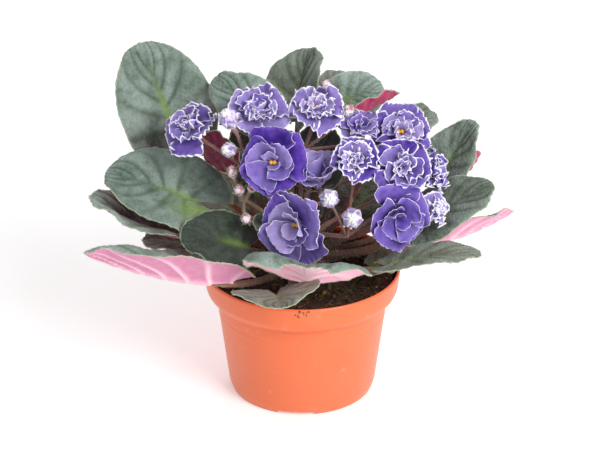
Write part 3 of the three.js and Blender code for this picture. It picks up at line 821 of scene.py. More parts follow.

# %% [markdown]
# ## Leaf finish
# A violet's leaf is grey-green and downy above, with sunken veins and a pale thin rim; the veins are painted
# darker, as painted shade in their grooves. Its midrib is yellow-green near the petiole. The underside is
# smooth, from pale pink to dark red, with pale raised veins. Each leaf brings its own measures (deep, olive,
# blush, wine), so one finish serves them all.
# Some light passes through a thin blade. A faint light in the colour of the underside stands for it, which is
# simpler than letting light through a closed sheet.

# %% Downy leaf
leaf_finish = Finish(
    "downy_leaf", Sheen_Weight=0.2, Sheen_Roughness=0.45, Specular_IOR_Level=0.35,
    Sheen_Tint=linear("dfe8dc"), Emission_Strength=0.45,
)
drift = leaf_finish.noise(16.0, 2.0)
mottle = leaf_finish.noise(4.5, 4.0)
down = leaf_finish.noise(0.9, 3.0)
pebble = leaf_finish.cells(1.8)
deep, olive, dusk, glow = leaf_finish.measures("deep", "olive", "dusk", "glow")
blush, wine, ribs = leaf_finish.measures("blush", "wine", "ribs")
vein, edge, below, stalk = leaf_finish.measures("vein", "edge", "below", "stalk")
calm = (1 - deep * 0.75) * (1 - olive * 0.55)
rim = 1 - leaf_finish.step(edge + mottle * 0.6, 0.5, 1.2)

above = leaf_finish.layers(
    leaf_finish.blend(deep, "9cb2a6", "152117"),
    (leaf_finish.step(drift, 0.35, 0.65) * 0.32, "57685c"),  # broad dark patches
    (olive * (0.4 + mottle * 0.6), "76653f"),  # olive leaves
    (dusk, "3b3033"),  # painted shade: a purple-brown darkening round the petiole and over shaded leaves
    (leaf_finish.step(mottle, 0.52, 0.72) * calm * 0.28, "aab9b2"),  # small pale and dark spots
    (leaf_finish.step(mottle, 0.5, 0.34) * 0.3, "313f2c"),
    (leaf_finish.step(drift, 0.6, 0.4) * calm * 0.4, "b2c0ba"),  # painted highlight: broad soft pale patches, as light on the down
    (leaf_finish.step(down, 0.55, 0.75) * calm * 0.3, "c2cec6"),  # pale flecks, painted as glints on the down
    (pebble * 0.28, "28341f"),  # painted shade in the crevices between the pebbles
    # painted shade in the sunken veins, browner on olive leaves
    (vein * (0.75 + olive * 0.1), leaf_finish.blend(olive, "2c3b26", "4a3020")),
    (glow, "93b452"),  # yellow-green along the midrib's foot
    (rim * 0.65, "b4c4a4"),  # the pale rim
)
under = leaf_finish.layers(
    leaf_finish.blend(blush, "f4bccd", "b4728e"),
    (leaf_finish.step(wine, 0.1, 0.6), "a31a50"),  # wine-red leaves, and the darkest of them
    (leaf_finish.step(wine, 0.55, 1.0), "540a28"),
    (leaf_finish.step(mottle, 0.4, 0.7) * (1 - wine) * 0.35, "bf8aab"),
    (vein * ribs, "efd6da"),  # raised veins
    (leaf_finish.step(down, 0.55, 0.8) * (1 - wine * 0.8) * 0.2, "f3d9e2"),
    (rim * 0.8, "a3ae87"),
)
petiole_skin = leaf_finish.layers(
    leaf_finish.blend(leaf_finish.step(mottle, 0.35, 0.65), "8a4848", "7a6240"),
    (down * 0.3, "bfa294"),
    (leaf_finish.measure("old") * 0.75, "2a1a14"),  # painted shade: darker brown towards the crown, among the crowded petioles
)
leaf_colour = leaf_finish.layers(above, (below, under), (stalk, petiole_skin))
DOWNY_LEAF = leaf_finish.paint(
    Base_Color=leaf_colour,
    Emission_Color=leaf_finish.blend(below * (1 - stalk), "000000", under),
    Roughness=0.6 + down * 0.25,
    Normal=leaf_finish.bumps((1 - pebble) * (1 - below) * 0.8 + down * 0.5 + mottle * 0.6, 0.8, 0.8),
)
print("finish:", DOWNY_LEAF.name)

# %% [markdown]
# ## Hairs
# Leaves, stalks, sepals and buds carry fine white hairs, about a millimetre long. Each one is a closed spike
# of four faces, which is enough at this size. Hair systems would be lost when the piece is exported, and a
# spike is enough at this size. No hair reaches out of the box of the measured solids.

# %% White down
down_finish = Finish("white_down", Roughness=0.6, Sheen_Weight=0.3, Base_Color=linear("e9ece2"))
WHITE_DOWN = down_finish.material
HAIR_WIDTH = 0.075
HAIR_STRAY = 0.33
BOX_LOW, BOX_HIGH = (np.array(SOLID_BOX) - AXIS) / MM
leaf_down = Skin()
stalk_down = Skin()


def add_hairs(skin, roots, ways, length, rng):
    """Closed spikes of four faces that stand on the roots."""
    count = len(roots)
    way = unit(unit(ways) + HAIR_STRAY * rng.normal(size=(count, 3)))
    first = unit(np.cross(way, rng.normal(size=(count, 3))))
    second = np.cross(way, first)
    feet = [
        roots + HAIR_WIDTH * (math.cos(turn) * first + math.sin(turn) * second)
        for turn in (0, 2 * math.pi / 3, 4 * math.pi / 3)
    ]
    tips = roots + way * length * rng.uniform(0.55, 1.2, (count, 1))
    tips = np.clip(tips, BOX_LOW, BOX_HIGH)
    points = np.stack(feet + [tips], 1)
    at = np.arange(count)[:, None] * 4
    faces = np.concatenate([at + face for face in ([0, 2, 1], [0, 1, 3], [1, 2, 3], [2, 0, 3])])
    skin.add(points, faces)


def hairs_on_tube(skin, points, outward, sides, per_ring, length, rng):
    """Hairs spread over a tube's skin."""
    rings = len(points) // sides - 1
    at = rng.integers(0, rings * sides, int(rings * per_ring))
    share = rng.random((len(at), 1))
    roots = points[at] * (1 - share) + points[at + sides] * share
    add_hairs(skin, roots - outward[at] * 0.05, outward[at], length, rng)


print("hairs are ready")

# %% [markdown]
# ## Leaves
# Each leaf is a row of the table: where its blade starts and ends, which way its upper face looks, how wide
# it is, how far its halves fold up, and where its petiole leaves the crown. The second table holds how each
# one is coloured. The relief sinks the midrib and the side veins and puffs the fields between them. Hairs
# stand on the petiole, along the edge and over the upper face.

# %% Leaf tables
LEAVES = {
    "left_back_tall": ((-77, 42, 142), (-102, 66, 203), (0.3, -0.85, 0.45), 63, (12, 12), (146, 94)),
    "back_left": ((-17, 28, 163), (-55, 57, 183), (0.15, -0.75, 0.65), 38, (8, 8), (122, 94)),
    "back_tall": ((-4, 40, 161), (5, 70, 198), (-0.35, -0.8, 0.5), 48, (10, 48), (100, 93)),
    "back_far": ((21, 72, 156), (25, 92, 174), (0, -0.6, 0.8), 34, (10, 10), (82, 87)),
    "back_right": ((18, 50, 168), (51, 62, 175), (0, -0.85, 0.5), 33, (10, 10), (72, 93)),
    "back_right_edge": ((31, 30, 166), (60, 36, 182), (-0.3, 0.6, 0.75), 26, (10, 10), (38, 92)),
    "back_right_long": ((52, 54, 147), (85, 79, 150), (0, -0.4, 0.9), 32, (10, 10), (50, 87)),
    "right_tall": ((85, 34.5, 121.5), (108, 51, 157), (-0.35, -0.85, 0.4), 38, (8, 36), (14, 93)),
    "right_back": ((96, 42, 112), (113, 56, 133), (-0.5, 0.6, 0.6), 36, (10, 10), (28, 87)),
    "right": ((68, 2, 104), (118, 12, 131), (-0.3, -0.45, 0.8), 39, (8, 8), (-3, 89)),
    "right_low": ((66, 15, 87), (131, 14, 112), (-0.3, 0.5, 0.8), 42, (10, 22), (16, 83)),
    "right_front_low": ((51, -29.5, 95), (108, -36, 106), (-0.15, 0.1, 1), 37, (8, 8), (-30, 85)),
    "right_inner_low": ((42, -11, 85.5), (66, -11, 92.5), (-0.2, -0.3, 0.9), 22, (10, 10), (-17, 81.5)),
    "front": ((3, -37.5, 87.3), (3, -66, 119), (0.12, 0.6, 0.8), 72, (12, 16), (-84, 86)),
    "front_low": ((-15.5, -51, 86.2), (-12, -83.5, 94.5), (0, -0.2, 1), 54, (15, 7), (-106, 80.5)),
    "left_front_long": ((-42, -37, 88), (-130, -50, 114), (0.2, 0.35, 0.9), 54, (40, 38), (-142, 83)),
    "left_front_inner": ((-32, -20, 103), (-74, -24, 114), (0.15, -0.5, 0.85), 41, (10, 10), (-150, 91)),
    "left_low": ((-63, 0, 94), (-99, 6, 96), (0, -0.1, 1), 34, (10, 10), (178, 82)),
    "left": ((-64, 6, 121), (-121, 13, 138), (0.25, -0.47, 0.86), 57.5, (8, 14), (168, 90)),
    "left_under": ((-61, -4, 102), (-131, 5, 126), (0.15, 0, 1), 48, (30, 36), (-172, 87.5)),
    "left_inner": ((-46, 16, 141), (-65, 20, 162), (0.5, 0.75, 0.4), 36, (8, 8), (184, 95)),
    "young_front": ((-10, -16, 110), (-30, -22, 122), (0.1, -0.4, 0.9), 22, (15, 15), (-122, 94)),
    "inner_left": ((-28, 18, 119), (-38.5, 41, 161), (0.1, -0.8, 0.5), 28, (8, 8), (152, 98)),
    "inner_back": ((8, 19.5, 129), (12, 31.5, 164), (0, -0.9, 0.4), 36, (8, 20), (54, 98)),
    "far_right": ((29, 38, 90), (58, 99, 108), (-0.1, -0.2, 1), 54, (10, 10), (56, 80)),
    "far": ((-6, 38, 97), (-12, 118, 118), (0, -0.2, 1), 54, (10, 10), (97, 84)),
    "far_left": ((-36, 32, 92), (-76, 88, 108), (0.2, -0.2, 1), 50, (10, 10), (137, 81)),
}
# What bends some leaves away from the common shape.
LEAF_BENDS = {
    "right_tall": {"egg": 0.4},
    "right_low": {"arch": -0.06},
    "right_front_low": {"egg": 0.0, "wave": 0.7},
    "front": {"lobe": -0.02, "egg": -0.4, "start": 0.2, "droop": 0.15, "flare": (10, 16)},
    "front_low": {"lobe": 0.34, "start": 0.15, "wave": 0.6, "nick": 0.05, "frill": 0.15, "curl": 8},
    "left_front_long": {"arch": -0.05},
    "left": {"lobe": 0.36, "start": 0.2},
    "left_under": {"arch": -0.09, "flare": (5, 0), "egg": 0.0},
}
PETIOLE_SAG = {"right_low": -0.02}
# A spot of yellow-green: how far along and across it is, and how far it reaches each way.
GLOW_SPOTS = {"left": (0.1, -0.5, 0.22, 0.4), "left_back_tall": (0.3, 0.0, 0.3, 0.07)}
# Above: how deep and how olive the green is, and how much painted shade darkens it near the petiole and
# all over. Underneath: how pink, how wine-red and how clearly veined.
LEAF_COLOURS = {
    "left_back_tall": (0.27, 0.1, 0.7, 0.0, 0.8, 0.2, 0.5),
    "back_left": (0.05, 0.0, 0.2, 0.0, 0.8, 0.2, 0.5),
    "back_tall": (0.35, 0.3, 0.2, 0.0, 1.0, 0.35, 0.2),
    "back_far": (0.15, 0.4, 0.2, 0.0, 0.8, 0.3, 0.4),
    "back_right": (0.0, 0.0, 0.1, 0.0, 0.8, 0.3, 0.4),
    "back_right_edge": (0.1, 0.1, 0.0, 0.0, 1.0, 0.6, 0.1),
    "back_right_long": (0.3, 0.4, 0.2, 0.0, 0.8, 0.4, 0.4),
    "right_tall": (0.33, 0.15, 0.4, 0.1, 0.9, 0.4, 0.4),
    "right_back": (0.3, 0.2, 0.0, 0.0, 1.0, 0.6, 0.1),
    "right": (0.5, 0.2, 0.9, 0.2, 0.8, 0.0, 0.6),
    "right_low": (0.4, 0.2, 0.2, 0.0, 0.9, 0.0, 0.7),
    "right_front_low": (0.1, 0.7, 0.3, 0.0, 0.8, 0.0, 0.6),
    "right_inner_low": (0.4, 1.0, 0.3, 0.2, 0.8, 0.2, 0.5),
    "front": (0.2, 0.1, 0.0, 0.0, 0.25, 0.0, 1.0),
    "front_low": (0.0, 0.85, 0.1, 0.0, 0.8, 0.2, 0.6),
    "left_front_long": (0.05, 0.1, 0.0, 0.0, 1.0, 0.1, 0.7),
    "left_front_inner": (1.0, 0.0, 0.5, 0.15, 0.8, 0.1, 0.5),
    "left_low": (0.7, 0.3, 0.0, 0.1, 0.8, 0.3, 0.5),
    "left": (0.4, 0.0, 0.0, 0.0, 0.8, 0.45, 0.4),
    "left_under": (0.1, 0.1, 0.9, 0.9, 1.0, 0.75, 0.3),
    "left_inner": (0.6, 0.3, 0.0, 0.0, 1.0, 0.95, 0.03),
    "young_front": (0.7, 0.1, 0.0, 0.0, 0.8, 0.3, 0.4),
    "inner_left": (0.9, 0.2, 0.5, 0.3, 0.8, 0.9, 0.2),
    # inner_back's very deep green is partly painted shade, for the shadow it lies in between the blooms.
    "inner_back": (0.9, 0.2, 0.5, 0.2, 0.8, 0.6, 0.3),
    "far_right": (0.85, 0.3, 0.6, 0.3, 0.8, 0.6, 0.3),
    "far": (0.8, 0.3, 0.6, 0.2, 0.8, 0.5, 0.3),
    "far_left": (0.7, 0.3, 0.4, 0.1, 0.8, 0.3, 0.5),
}
print("leaves:", len(LEAVES), "colours:", len(LEAF_COLOURS))

# %% Veins and relief of a leaf
CROWN = {"base": 62.0, "shoulder": 90.0, "top": 100.0}
SIDE_VEINS = 7
MIDRIB_REACH = 1.3


def array(numbers):
    return np.array(numbers, float)


def on_crown(degrees, height):
    """A point just inside the crown's skin."""
    radius = CROWN_RADIUS - 1.5 - max(0, height - CROWN["shoulder"]) * 0.35
    return on_circle(radius, math.radians(degrees), height)


def midrib_gap(s, across):
    return np.abs(across) * s.width / 2


def side_veins(s, along, across, reach):
    """The side veins, which leave the midrib in turn and sweep towards the tip."""
    t = np.abs(across)
    start = (along - 0.1 * t) / (1 + 0.85 * t)
    place = start * SIDE_VEINS + 0.4 * (across > 0)
    gap = np.abs(place - np.round(place)) / SIDE_VEINS * np.linalg.norm(s.tip - s.base)
    fade = smooth(t, 0.0, 0.06) * (1 - 0.7 * t**2) * (1 - smooth(start, 0.72, 0.9))
    return bump(gap * (1 + 0.5 * t), reach) * fade * smooth(start, -0.06, 0.04)


def veins(s, along, across):
    midrib = bump(midrib_gap(s, across), MIDRIB_REACH) * (1 - 0.6 * along)
    return np.maximum(midrib, side_veins(s, along, across, 1.4) * 0.95)


def leaf_relief(s, along, across):
    """Height of the leaf's surface: grooves at the veins and puffed fields between them."""
    groove = bump(midrib_gap(s, across), MIDRIB_REACH) * 0.55 * (1 - 0.6 * along)
    puff = 1.0 * (1 - side_veins(s, along, across, 2.8)) * smooth(midrib_gap(s, across), 0.5, 4)
    dimples = 0.2 * np.sin(along * 61 + 3 * np.sin(across * 9)) * np.sin(across * 31 + 2 * np.sin(along * 17))
    fade = 1 - smooth(np.maximum(np.abs(across), along), 0.85, 1.0)
    return (puff + dimples) * fade - groove - 0.3 * side_veins(s, along, across, 0.8)


def dusky_shade_along(shade_patch, dusk, along, across):
    """Painted shade: a dark patch round the petiole, over a darkening that only the tip and the edge are free
    of.
    """
    near = shade_patch * (1 - smooth(along + 0.2 * across, 0.1, 0.42))
    inside = (1 - smooth(along, 0.7, 0.92)) * (1 - smooth(np.abs(across), 0.75, 0.95))
    return np.maximum(near, dusk * inside)


def young_glow(s, spot, along, across):
    """The yellow-green along the foot of the midrib, and a spot of it elsewhere on some leaves."""
    glow = bump(midrib_gap(s, across), 3.2) * (1 - smooth(along, 0.05, 0.6)) * 0.6
    if spot:
        gap = np.hypot((along - spot[0]) / spot[2], (across - spot[1]) / spot[3])
        glow = np.maximum(glow, 0.6 * bump(gap, 1))
    return glow


print("side veins on each half of a leaf:", SIDE_VEINS)

# %% Grow the leaves
PETIOLE_RADIUS = 2.1
PETIOLE_SIDES = 14
LEAF_THICKNESS = 1.1
LEAF_PITCH = 1.15
EDGE_HAIRS_PER_MM = 2.3
SIDE_EDGE_SHARE = 0.86
FACE_HAIRS_PER_MM2 = 0.06


def blade_of(shape, **own):
    return SimpleNamespace(**{"closed": True, **shape, **own})


def add_petiole(skin, s, name, root, looks, rng):
    """The petiole, from inside the crown to under the foot of the blade, with its hairs."""
    stalk_root = on_crown(*root)
    middle = stalk_root + (s.base - stalk_root) * 0.45
    middle[2] -= PETIOLE_SAG.get(name, 0.08) * np.linalg.norm(s.base - stalk_root)
    ends = []
    for u in (0.02, 0.14):
        at = (np.array([u]), np.array([0.0]))
        ends.append((blade_points(s, *at) - blade_normals(s, *at) * 1.3)[0])
    radius = PETIOLE_RADIUS
    steps = 8 + int(np.linalg.norm(s.base - stalk_root) / 2.5)
    radii = [1.1 * radius, radius, radius, 0.4 * radius]
    points, faces, outward = tube([stalk_root, middle, *ends], radii, PETIOLE_SIDES, steps)
    # painted shade on the petioles, darkest near the crown
    old = 1 - smooth(np.hypot(points[:, 0], points[:, 1]), 18, 46)
    skin.add(points, faces, stalk=1.0, edge=9.0, old=old, **looks)
    hairs_on_tube(stalk_down, points, outward, PETIOLE_SIDES, 7, 1.1, rng)


def hairs_round_blade(s, rng):
    count = int((2 * np.linalg.norm(s.tip - s.base) + s.width) * EDGE_HAIRS_PER_MM)
    on_side = rng.random(count) < SIDE_EDGE_SHARE
    along = np.where(on_side, rng.random(count), 1.0)
    across = np.where(on_side, rng.choice([-1.0, 1.0], count), rng.uniform(-1, 1, count))
    roots = blade_points(s, along, across)
    inner = blade_points(s, np.where(on_side, along, 0.92), np.where(on_side, across * 0.9, across))
    lift = blade_normals(s, along, across) * rng.normal(0, 0.5, (count, 1))
    add_hairs(leaf_down, roots, unit(roots - inner) + lift, 1.0, rng)


def hairs_over_blade(s, rng):
    count = int(np.linalg.norm(s.tip - s.base) * s.width * FACE_HAIRS_PER_MM2)
    along = rng.uniform(0.02, 0.98, count)
    across = rng.uniform(-0.97, 0.97, count)
    normal = blade_normals(s, along, across)
    roots = blade_points(s, along, across) + normal * (leaf_relief(s, along, across) + 0.3)[:, None]
    _, axis, _, _ = blade_frame(s)
    add_hairs(leaf_down, roots, normal + 0.5 * axis, 0.9, rng)


def make_leaf(name, number):
    base, tip, face, width, fold, root = LEAVES[name]
    s = blade_of(
        {**LEAF_SHAPE, **LEAF_BENDS.get(name, {})}, base=array(base), tip=array(tip), face=array(face),
        width=width, fold=fold, phase=2 * math.pi * draw(7, number),
    )
    deep, olive, shade_patch, dusk, blush, wine, ribs = LEAF_COLOURS[name]
    looks = {"deep": deep, "olive": olive, "blush": blush, "wine": wine, "ribs": ribs}
    rng = np.random.default_rng(100 + number)
    skin = Skin()
    add_blade(
        skin, s, thickness=LEAF_THICKNESS, pitch=LEAF_PITCH,
        relief=lambda u, w: leaf_relief(s, u, w),
        rib=lambda u, w: bump(midrib_gap(s, w), 1.7) * 1.4 * (1 - u) + 0.2 * side_veins(s, u, w, 0.9),
        vein=lambda u, w: veins(s, u, w),
        glow=lambda u, w: young_glow(s, GLOW_SPOTS.get(name), u, w),
        # painted shade round the petiole and over shaded leaves
        dusk=lambda u, w: dusky_shade_along(shade_patch, dusk, u, w),
        **looks,
    )
    add_petiole(skin, s, name, root, looks, rng)
    hairs_round_blade(s, rng)
    hairs_over_blade(s, rng)
    return make_piece("leaf_blade_" + name, skin, DOWNY_LEAF, "leaf_" + name)


for number, name in enumerate(LEAVES):
    make_leaf(name, number)
print("hair points so far:", leaf_down.count + stalk_down.count)

# %% [markdown]
# ## Petals
# The petals are a deep violet that fades to lilac at the heart of some blooms, with fine darker streaks, a
# paler back, and a crinkled white edge that a hybrid grower would call a picotee. The distance to the edge,
# which each petal carries, draws that white line at the same width all round.

# %% Petal finish
petal_finish = Finish("picotee_petal", Sheen_Weight=0.08, Specular_IOR_Level=0.3, Sheen_Roughness=0.4)
cloud = petal_finish.noise(5.0, 3.0)
grit = petal_finish.noise(0.9, 3.0)
along, across, edge, below = petal_finish.measures("along", "across", "edge", "below")
pale, lace = petal_finish.measures("pale", "lace")
lines = petal_finish.node("ShaderNodeCombineXYZ", {}, {"X": across * 0.016, "Y": along * 0.0022})
streak = petal_finish.noise(1.0, 2.0, lines.outputs["Vector"])
throat = 1 - petal_finish.step(along, 0.15, 0.85)
halo = 1 - petal_finish.step(edge, 0.3, 3.4)
white = 1 - petal_finish.step(edge + grit * 0.9 + cloud * 0.3 - lace * 0.8, 0.35, 0.9)
violet = petal_finish.layers(
    petal_finish.blend(petal_finish.step(cloud, 0.3, 0.7), "3f1e8e", "6942b6"),
    (streak * 0.4, "351d7f"),  # fine streaks
    (throat * (1 - pale) * 0.7, "27146a"),  # the dark foot of a petal
    (halo * 0.3, "9678d8"),  # paler towards the edge
    (below * 0.5, "8468cf"),  # the paler back
    (pale * (0.6 + cloud * 0.4), "d2c2f0"),  # lilac petals
    (white * (0.75 + lace * 0.25), "f6f3fc"),  # the white edge
)
PICOTEE_PETAL = petal_finish.paint(
    Base_Color=violet,
    Roughness=0.5 + grit * 0.25,
    Normal=petal_finish.bumps(streak * 0.6 + grit * 0.4, 0.18, 0.6),
)
print("finish:", PICOTEE_PETAL.name)

# %% [markdown]
# ## Blooms
# Each bloom looks its own way and has a radius and a tilt. Its petals stand in rings, from five wide outer
# ones to small ones round the heart: three rings in an open bloom, and four in a full one. A full bloom that
# shows its anthers leaves out the innermost ring, which would hide them. In each ring some petals stand a
# little higher than their neighbours and lie over them, as they did in the bud.

# %% Bloom tables
# Where the heart of each bloom is, which way it looks, its radius, and how steeply its outer petals stand.
BLOOMS = {
    "far_left": ((-66, 10, 168), (-0.55, -0.35, 0.75), 18, 12),
    "left_top": ((-27, 13, 175.5), (0.1, -0.55, 0.8), 19, 20),
    "top": ((8, 15, 177.5), (0, -0.6, 0.8), 18, 12),
    "centre": ((-17, -14, 158), (-0.1, -0.95, 0.3), 21, 14),
    "middle": ((10, -1, 135), (-0.25, -0.1, 0.95), 25.5, 43),
    "middle_right": ((32, -9, 155.5), (0, -0.8, 0.6), 16, 24),
    "right_top": ((59.5, 18, 162), (0.1, -0.75, 0.65), 18.3, 12),
    "right": ((59, -8, 150.5), (0.1, -0.85, 0.5), 18, 16),
    "right_edge": ((76.5, 6, 142), (0.95, -0.2, 0.3), 15, 12),
    "right_low": ((55.5, -20, 126), (0.35, -0.85, 0.1), 20.5, 18),
    "front": ((-1, -32, 126), (-0.52, -0.8, 0.08), 23.5, 24),
    "top_right": ((34.7, 13, 167), (0, -0.4, 0.9), 12.8, 16),
    "right_small": ((78.5, -10, 124), (0.7, -0.5, 0.3), 11, 20),
    "rear_left": ((-14, 46, 138), (-0.2, 0.8, 0.6), 18, 14),
    "rear_right": ((33, 56, 124), (0.2, 0.8, 0.5), 17, 14),
}
# How deep the frills are in millimetres, how pale the outer petals and the heart are, and how wide the white
# lace along the edges is.
BLOOM_LOOKS = {
    "far_left": (1.3, 0.35, 0.6, 1.0),
    "left_top": (1.3, 0.4, 0.8, 1.0),
    "top": (1.5, 0.35, 0.9, 1.2),
    "centre": (0.35, 0.0, 0.6, 0.2),
    "middle": (0.3, 0.6, 0.5, 0.1),
    "middle_right": (1.5, 0.1, 1.0, 1.2),
    "right_top": (1.4, 0.15, 0.9, 0.9),
    "right": (1.2, 0.1, 0.9, 0.9),
    "right_edge": (1.4, 0.1, 0.45, 0.9),
    "right_low": (0.35, 0.12, 0.15, 0.35),
    "front": (0.4, 0.2, 0.95, 0.4),
    "top_right": (0.6, 0.3, 0.3, 0.5),
    "right_small": (1.4, 0.5, 1.0, 1.3),
    "rear_left": (0.9, 0.1, 0.5, 0.6),
    "rear_right": (0.9, 0.1, 0.6, 0.8),
}
WITH_ANTHERS = ("centre", "top", "right_top", "front")
BLOOM = {"hub": 1.7, "back": 2.6, "rise": 1.9, "throat": 1.2, "twist": 8}
# The rings of an open bloom and of a full one, from the outside in: how many petals, their length as a share
# of the radius, how much steeper they stand, their height on the axis, and how full they are.
OPEN_RINGS = [(5, 1.0, 0, 0.0, 2.5), (4, 0.74, 16, 1.6, 2.5), (2, 0.5, 46, 2.5, 2.0)]
FULL_RINGS = [(5, 1.0, 0, 0.0, 2.1), (5, 0.8, 18, 1.4, 2.0), (5, 0.58, 38, 2.2, 1.9), (3, 0.4, 60, 2.8, 2.0)]
FULL_FRILL = 0.7
# How far the petals of each ring stray: in their turn, as a share of the step between them, in their length,
# as a share of it, and in their lean, in degrees. Last, how far their sides curl up, in degrees.
RING_STRAY = [(0.06, 0.09, 7, 6), (0.06, 0.18, 12, 34), (0.2, 0.18, 12, 34), (0.2, 0.18, 12, 34)]
OVERLAP_LEAN = 6
print("blooms:", len(BLOOMS))


# %% One petal
PETAL_THICKNESS = 0.5
PETAL_PITCH = 0.85
HEART_RADIUS = 2.3


def around(face, turn):
    """A direction square to the face, turned about it."""
    start = array([1, 0, 0]) if abs(face[2]) > 0.9 else array([0, 0, 1])
    first = unit(start - face * np.dot(start, face))
    return first * math.cos(turn) + np.cross(face, first) * math.sin(turn)


def petal(centre, face, turn, length, width, tilt, seed, frill, cup):
    """One petal at a place round the hub. The cup is how far its sides curl up, in degrees."""
    outward = around(face, turn)
    along = outward * math.cos(tilt) + face * math.sin(tilt)
    upper = face * math.cos(tilt) - outward * math.sin(tilt)
    twist = math.radians(BLOOM["twist"] + 9 * swing(seed, 3))
    return blade_of(
        {**PETAL_SHAPE, "egg": -0.5 - 0.22 * min(frill, 1)},
        base=centre + outward * BLOOM["hub"],
        tip=centre + along * length,
        face=upper + around(face, turn + math.pi / 2) * math.tan(twist),
        width=width,
        fold=(6 + 9 * swing(seed, 4), 6 + 9 * swing(seed, 5)),
        curl=cup + 8 * swing(seed, 10),
        droop=0.1 * swing(seed, 6) - 0.002 * cup,
        wave=(0.05 + 0.05 * frill) * width,
        phase=2 * math.pi * draw(seed, 7),
        frill=frill,
        closed=False,
    )


def flat(along, across):
    return np.zeros_like(along)


print("a petal is", PETAL_THICKNESS, "mm thick")


# %% Grow the blooms
def make_bloom(name, number):
    at, face, radius, tilt = BLOOMS[name]
    frill, outer_pale, heart_pale, lace = BLOOM_LOOKS[name]
    face = unit(face)
    skin = Skin()
    rings = FULL_RINGS if frill > FULL_FRILL else OPEN_RINGS
    if rings is FULL_RINGS and name in WITH_ANTHERS:
        rings = rings[:-1]
    for r, (count, share, lift, height, fullness) in enumerate(rings):
        centre = array(at) + face * height
        turn_stray, length_stray, lean_stray, cup = RING_STRAY[r]
        for k in range(count):
            seed = 10 * number + 5 * r + k + 1 + 200 * (r > 1)
            turn = 2 * math.pi * (k + r / 2 + turn_stray * swing(seed, 1)) / count
            length = radius * share * (1 + length_stray * swing(seed, 2))
            over = 2 * (2 * k % count) / (count - 1) - 1
            lean = math.radians(tilt + lift + OVERLAP_LEAN * over + lean_stray * swing(seed, 8))
            reach = BLOOM["hub"] + 0.62 * length * math.cos(lean)
            width = max(fullness * reach * math.tan(math.pi / 5), length * 0.8)
            foot = centre + 0.4 * over * face
            s = petal(foot, face, turn, length, width, lean, seed, frill * min(1, share + 0.2), cup)
            ring_pale = outer_pale + (heart_pale - outer_pale) * r / (len(rings) - 1)
            own_pale = min(1, ring_pale * (0.35 + 1.35 * draw(seed, 9)))
            add_blade(
                skin, s, thickness=PETAL_THICKNESS, pitch=PETAL_PITCH, relief=flat, rib=flat,
                lace=lace * (1 - 0.4 * r / (len(rings) - 1)),
                pale=lambda u, w, p=own_pale: p * (0.6 + 0.4 * u),
            )
    points, faces = ball(8, 16)
    skin.add(points * HEART_RADIUS + array(at) + face * 0.9, faces, edge=5.0, pale=heart_pale * 0.6)
    return make_piece("double_bloom_" + name, skin, PICOTEE_PETAL, "bloom_" + name)


for number, name in enumerate(BLOOMS):
    make_bloom(name, number)

# %% [markdown]
# ## Anthers
# Two fat yellow anthers sit side by side at the heart of the blooms that show them, on a short filament.
# Each is a ball that is a little longer than wide, with a seam where it will split.

# %% Anthers
anther_finish = Finish("pollen_yellow", Roughness=0.55)
yolk = anther_finish.noise(0.8, 2.0)
POLLEN_YELLOW = anther_finish.paint(
    Base_Color=anther_finish.blend(yolk, "e79a10", "ffd531"),
    Normal=anther_finish.bumps(yolk, 0.1, 0.5),
)


ANTHER_SHAPE = [1.02, 1.3, 1.1]
ANTHER_SIZE = 1.08
ANTHER_APART = 1.05
FILAMENT = 2.2


def make_anthers(name):
    at, face, _, _ = BLOOMS[name]
    face = unit(face)
    sideways = around(face, math.pi / 2)
    other = np.cross(face, sideways)
    foot = array(at) + face * (BLOOM["rise"] + BLOOM["throat"] + 0.3)
    top = foot + face * FILAMENT
    skin = Skin()
    points, faces = ball(14, 22)
    seam = 1 - 0.16 * bump(points[:, :1], 0.16) * (points[:, 2:] > 0)
    for side in (-1, 1):
        shape = points * seam * ANTHER_SHAPE
        turned_points = shape[:, :1] * sideways + shape[:, 1:2] * other + shape[:, 2:] * face
        skin.add(turned_points * ANTHER_SIZE + top + sideways * side * ANTHER_APART, faces)
    points, faces, _ = tube([foot, (foot + top) / 2, top], [0.55, 0.5, 0.7], 10, 6)
    skin.add(points, faces)
    return make_piece("anther_pair_" + name, skin, POLLEN_YELLOW, "anthers_" + name)


for name in WITH_ANTHERS:
    make_anthers(name)

# %% [markdown]
# ## Buds
# A double violet's bud swells into a ball of tightly wrapped petals before it opens. Each petal's frilled
# white edge runs up the ball in a slight spiral. The mesh is twisted with that spiral, so that the edges lie
# along its columns and stay crisp.

# %% Bud finish
bud_finish = Finish("downy_bud", Sheen_Weight=0.4, Sheen_Roughness=0.5, Specular_IOR_Level=0.3)
cloud = bud_finish.noise(2.6, 3.0)
edge = bud_finish.measure("edge")
lilac = bud_finish.layers(
    bud_finish.blend(bud_finish.step(cloud, 0.38, 0.62), "e0d6f0", "8570bd"),
    (bud_finish.measure("rosy") * cloud, "c46a86"),
    (1 - bud_finish.step(edge + cloud - 0.5, 0.3, 1.3), "ffffff"),
)
DOWNY_BUD = bud_finish.paint(
    Base_Color=lilac,
    Roughness=0.6 + cloud * 0.2,
    Normal=bud_finish.bumps(bud_finish.noise(0.7, 2.0), 0.2, 0.6),
)
print("finish:", DOWNY_BUD.name)

# %% Grow the large buds
# Where the middle of each bud is, which way it points, its radius and its length.
BUDS = {
    "left": ((-44, -8, 183), (-0.3, -0.4, 0.8), 6, 16),
    "left_low": ((-44, -8, 163), (-0.5, -0.6, 0.3), 4.6, 11),
    "front": ((16, -28, 140), (0, -0.9, 0.4), 6, 11),
    "front_right": ((30, -32, 129), (0, -0.9, 0.35), 6.4, 12),
}
BUD_PROFILE = [0.25, 0.75, 1.0, 0.86, 0.3]
BUD_HAIRS = 420


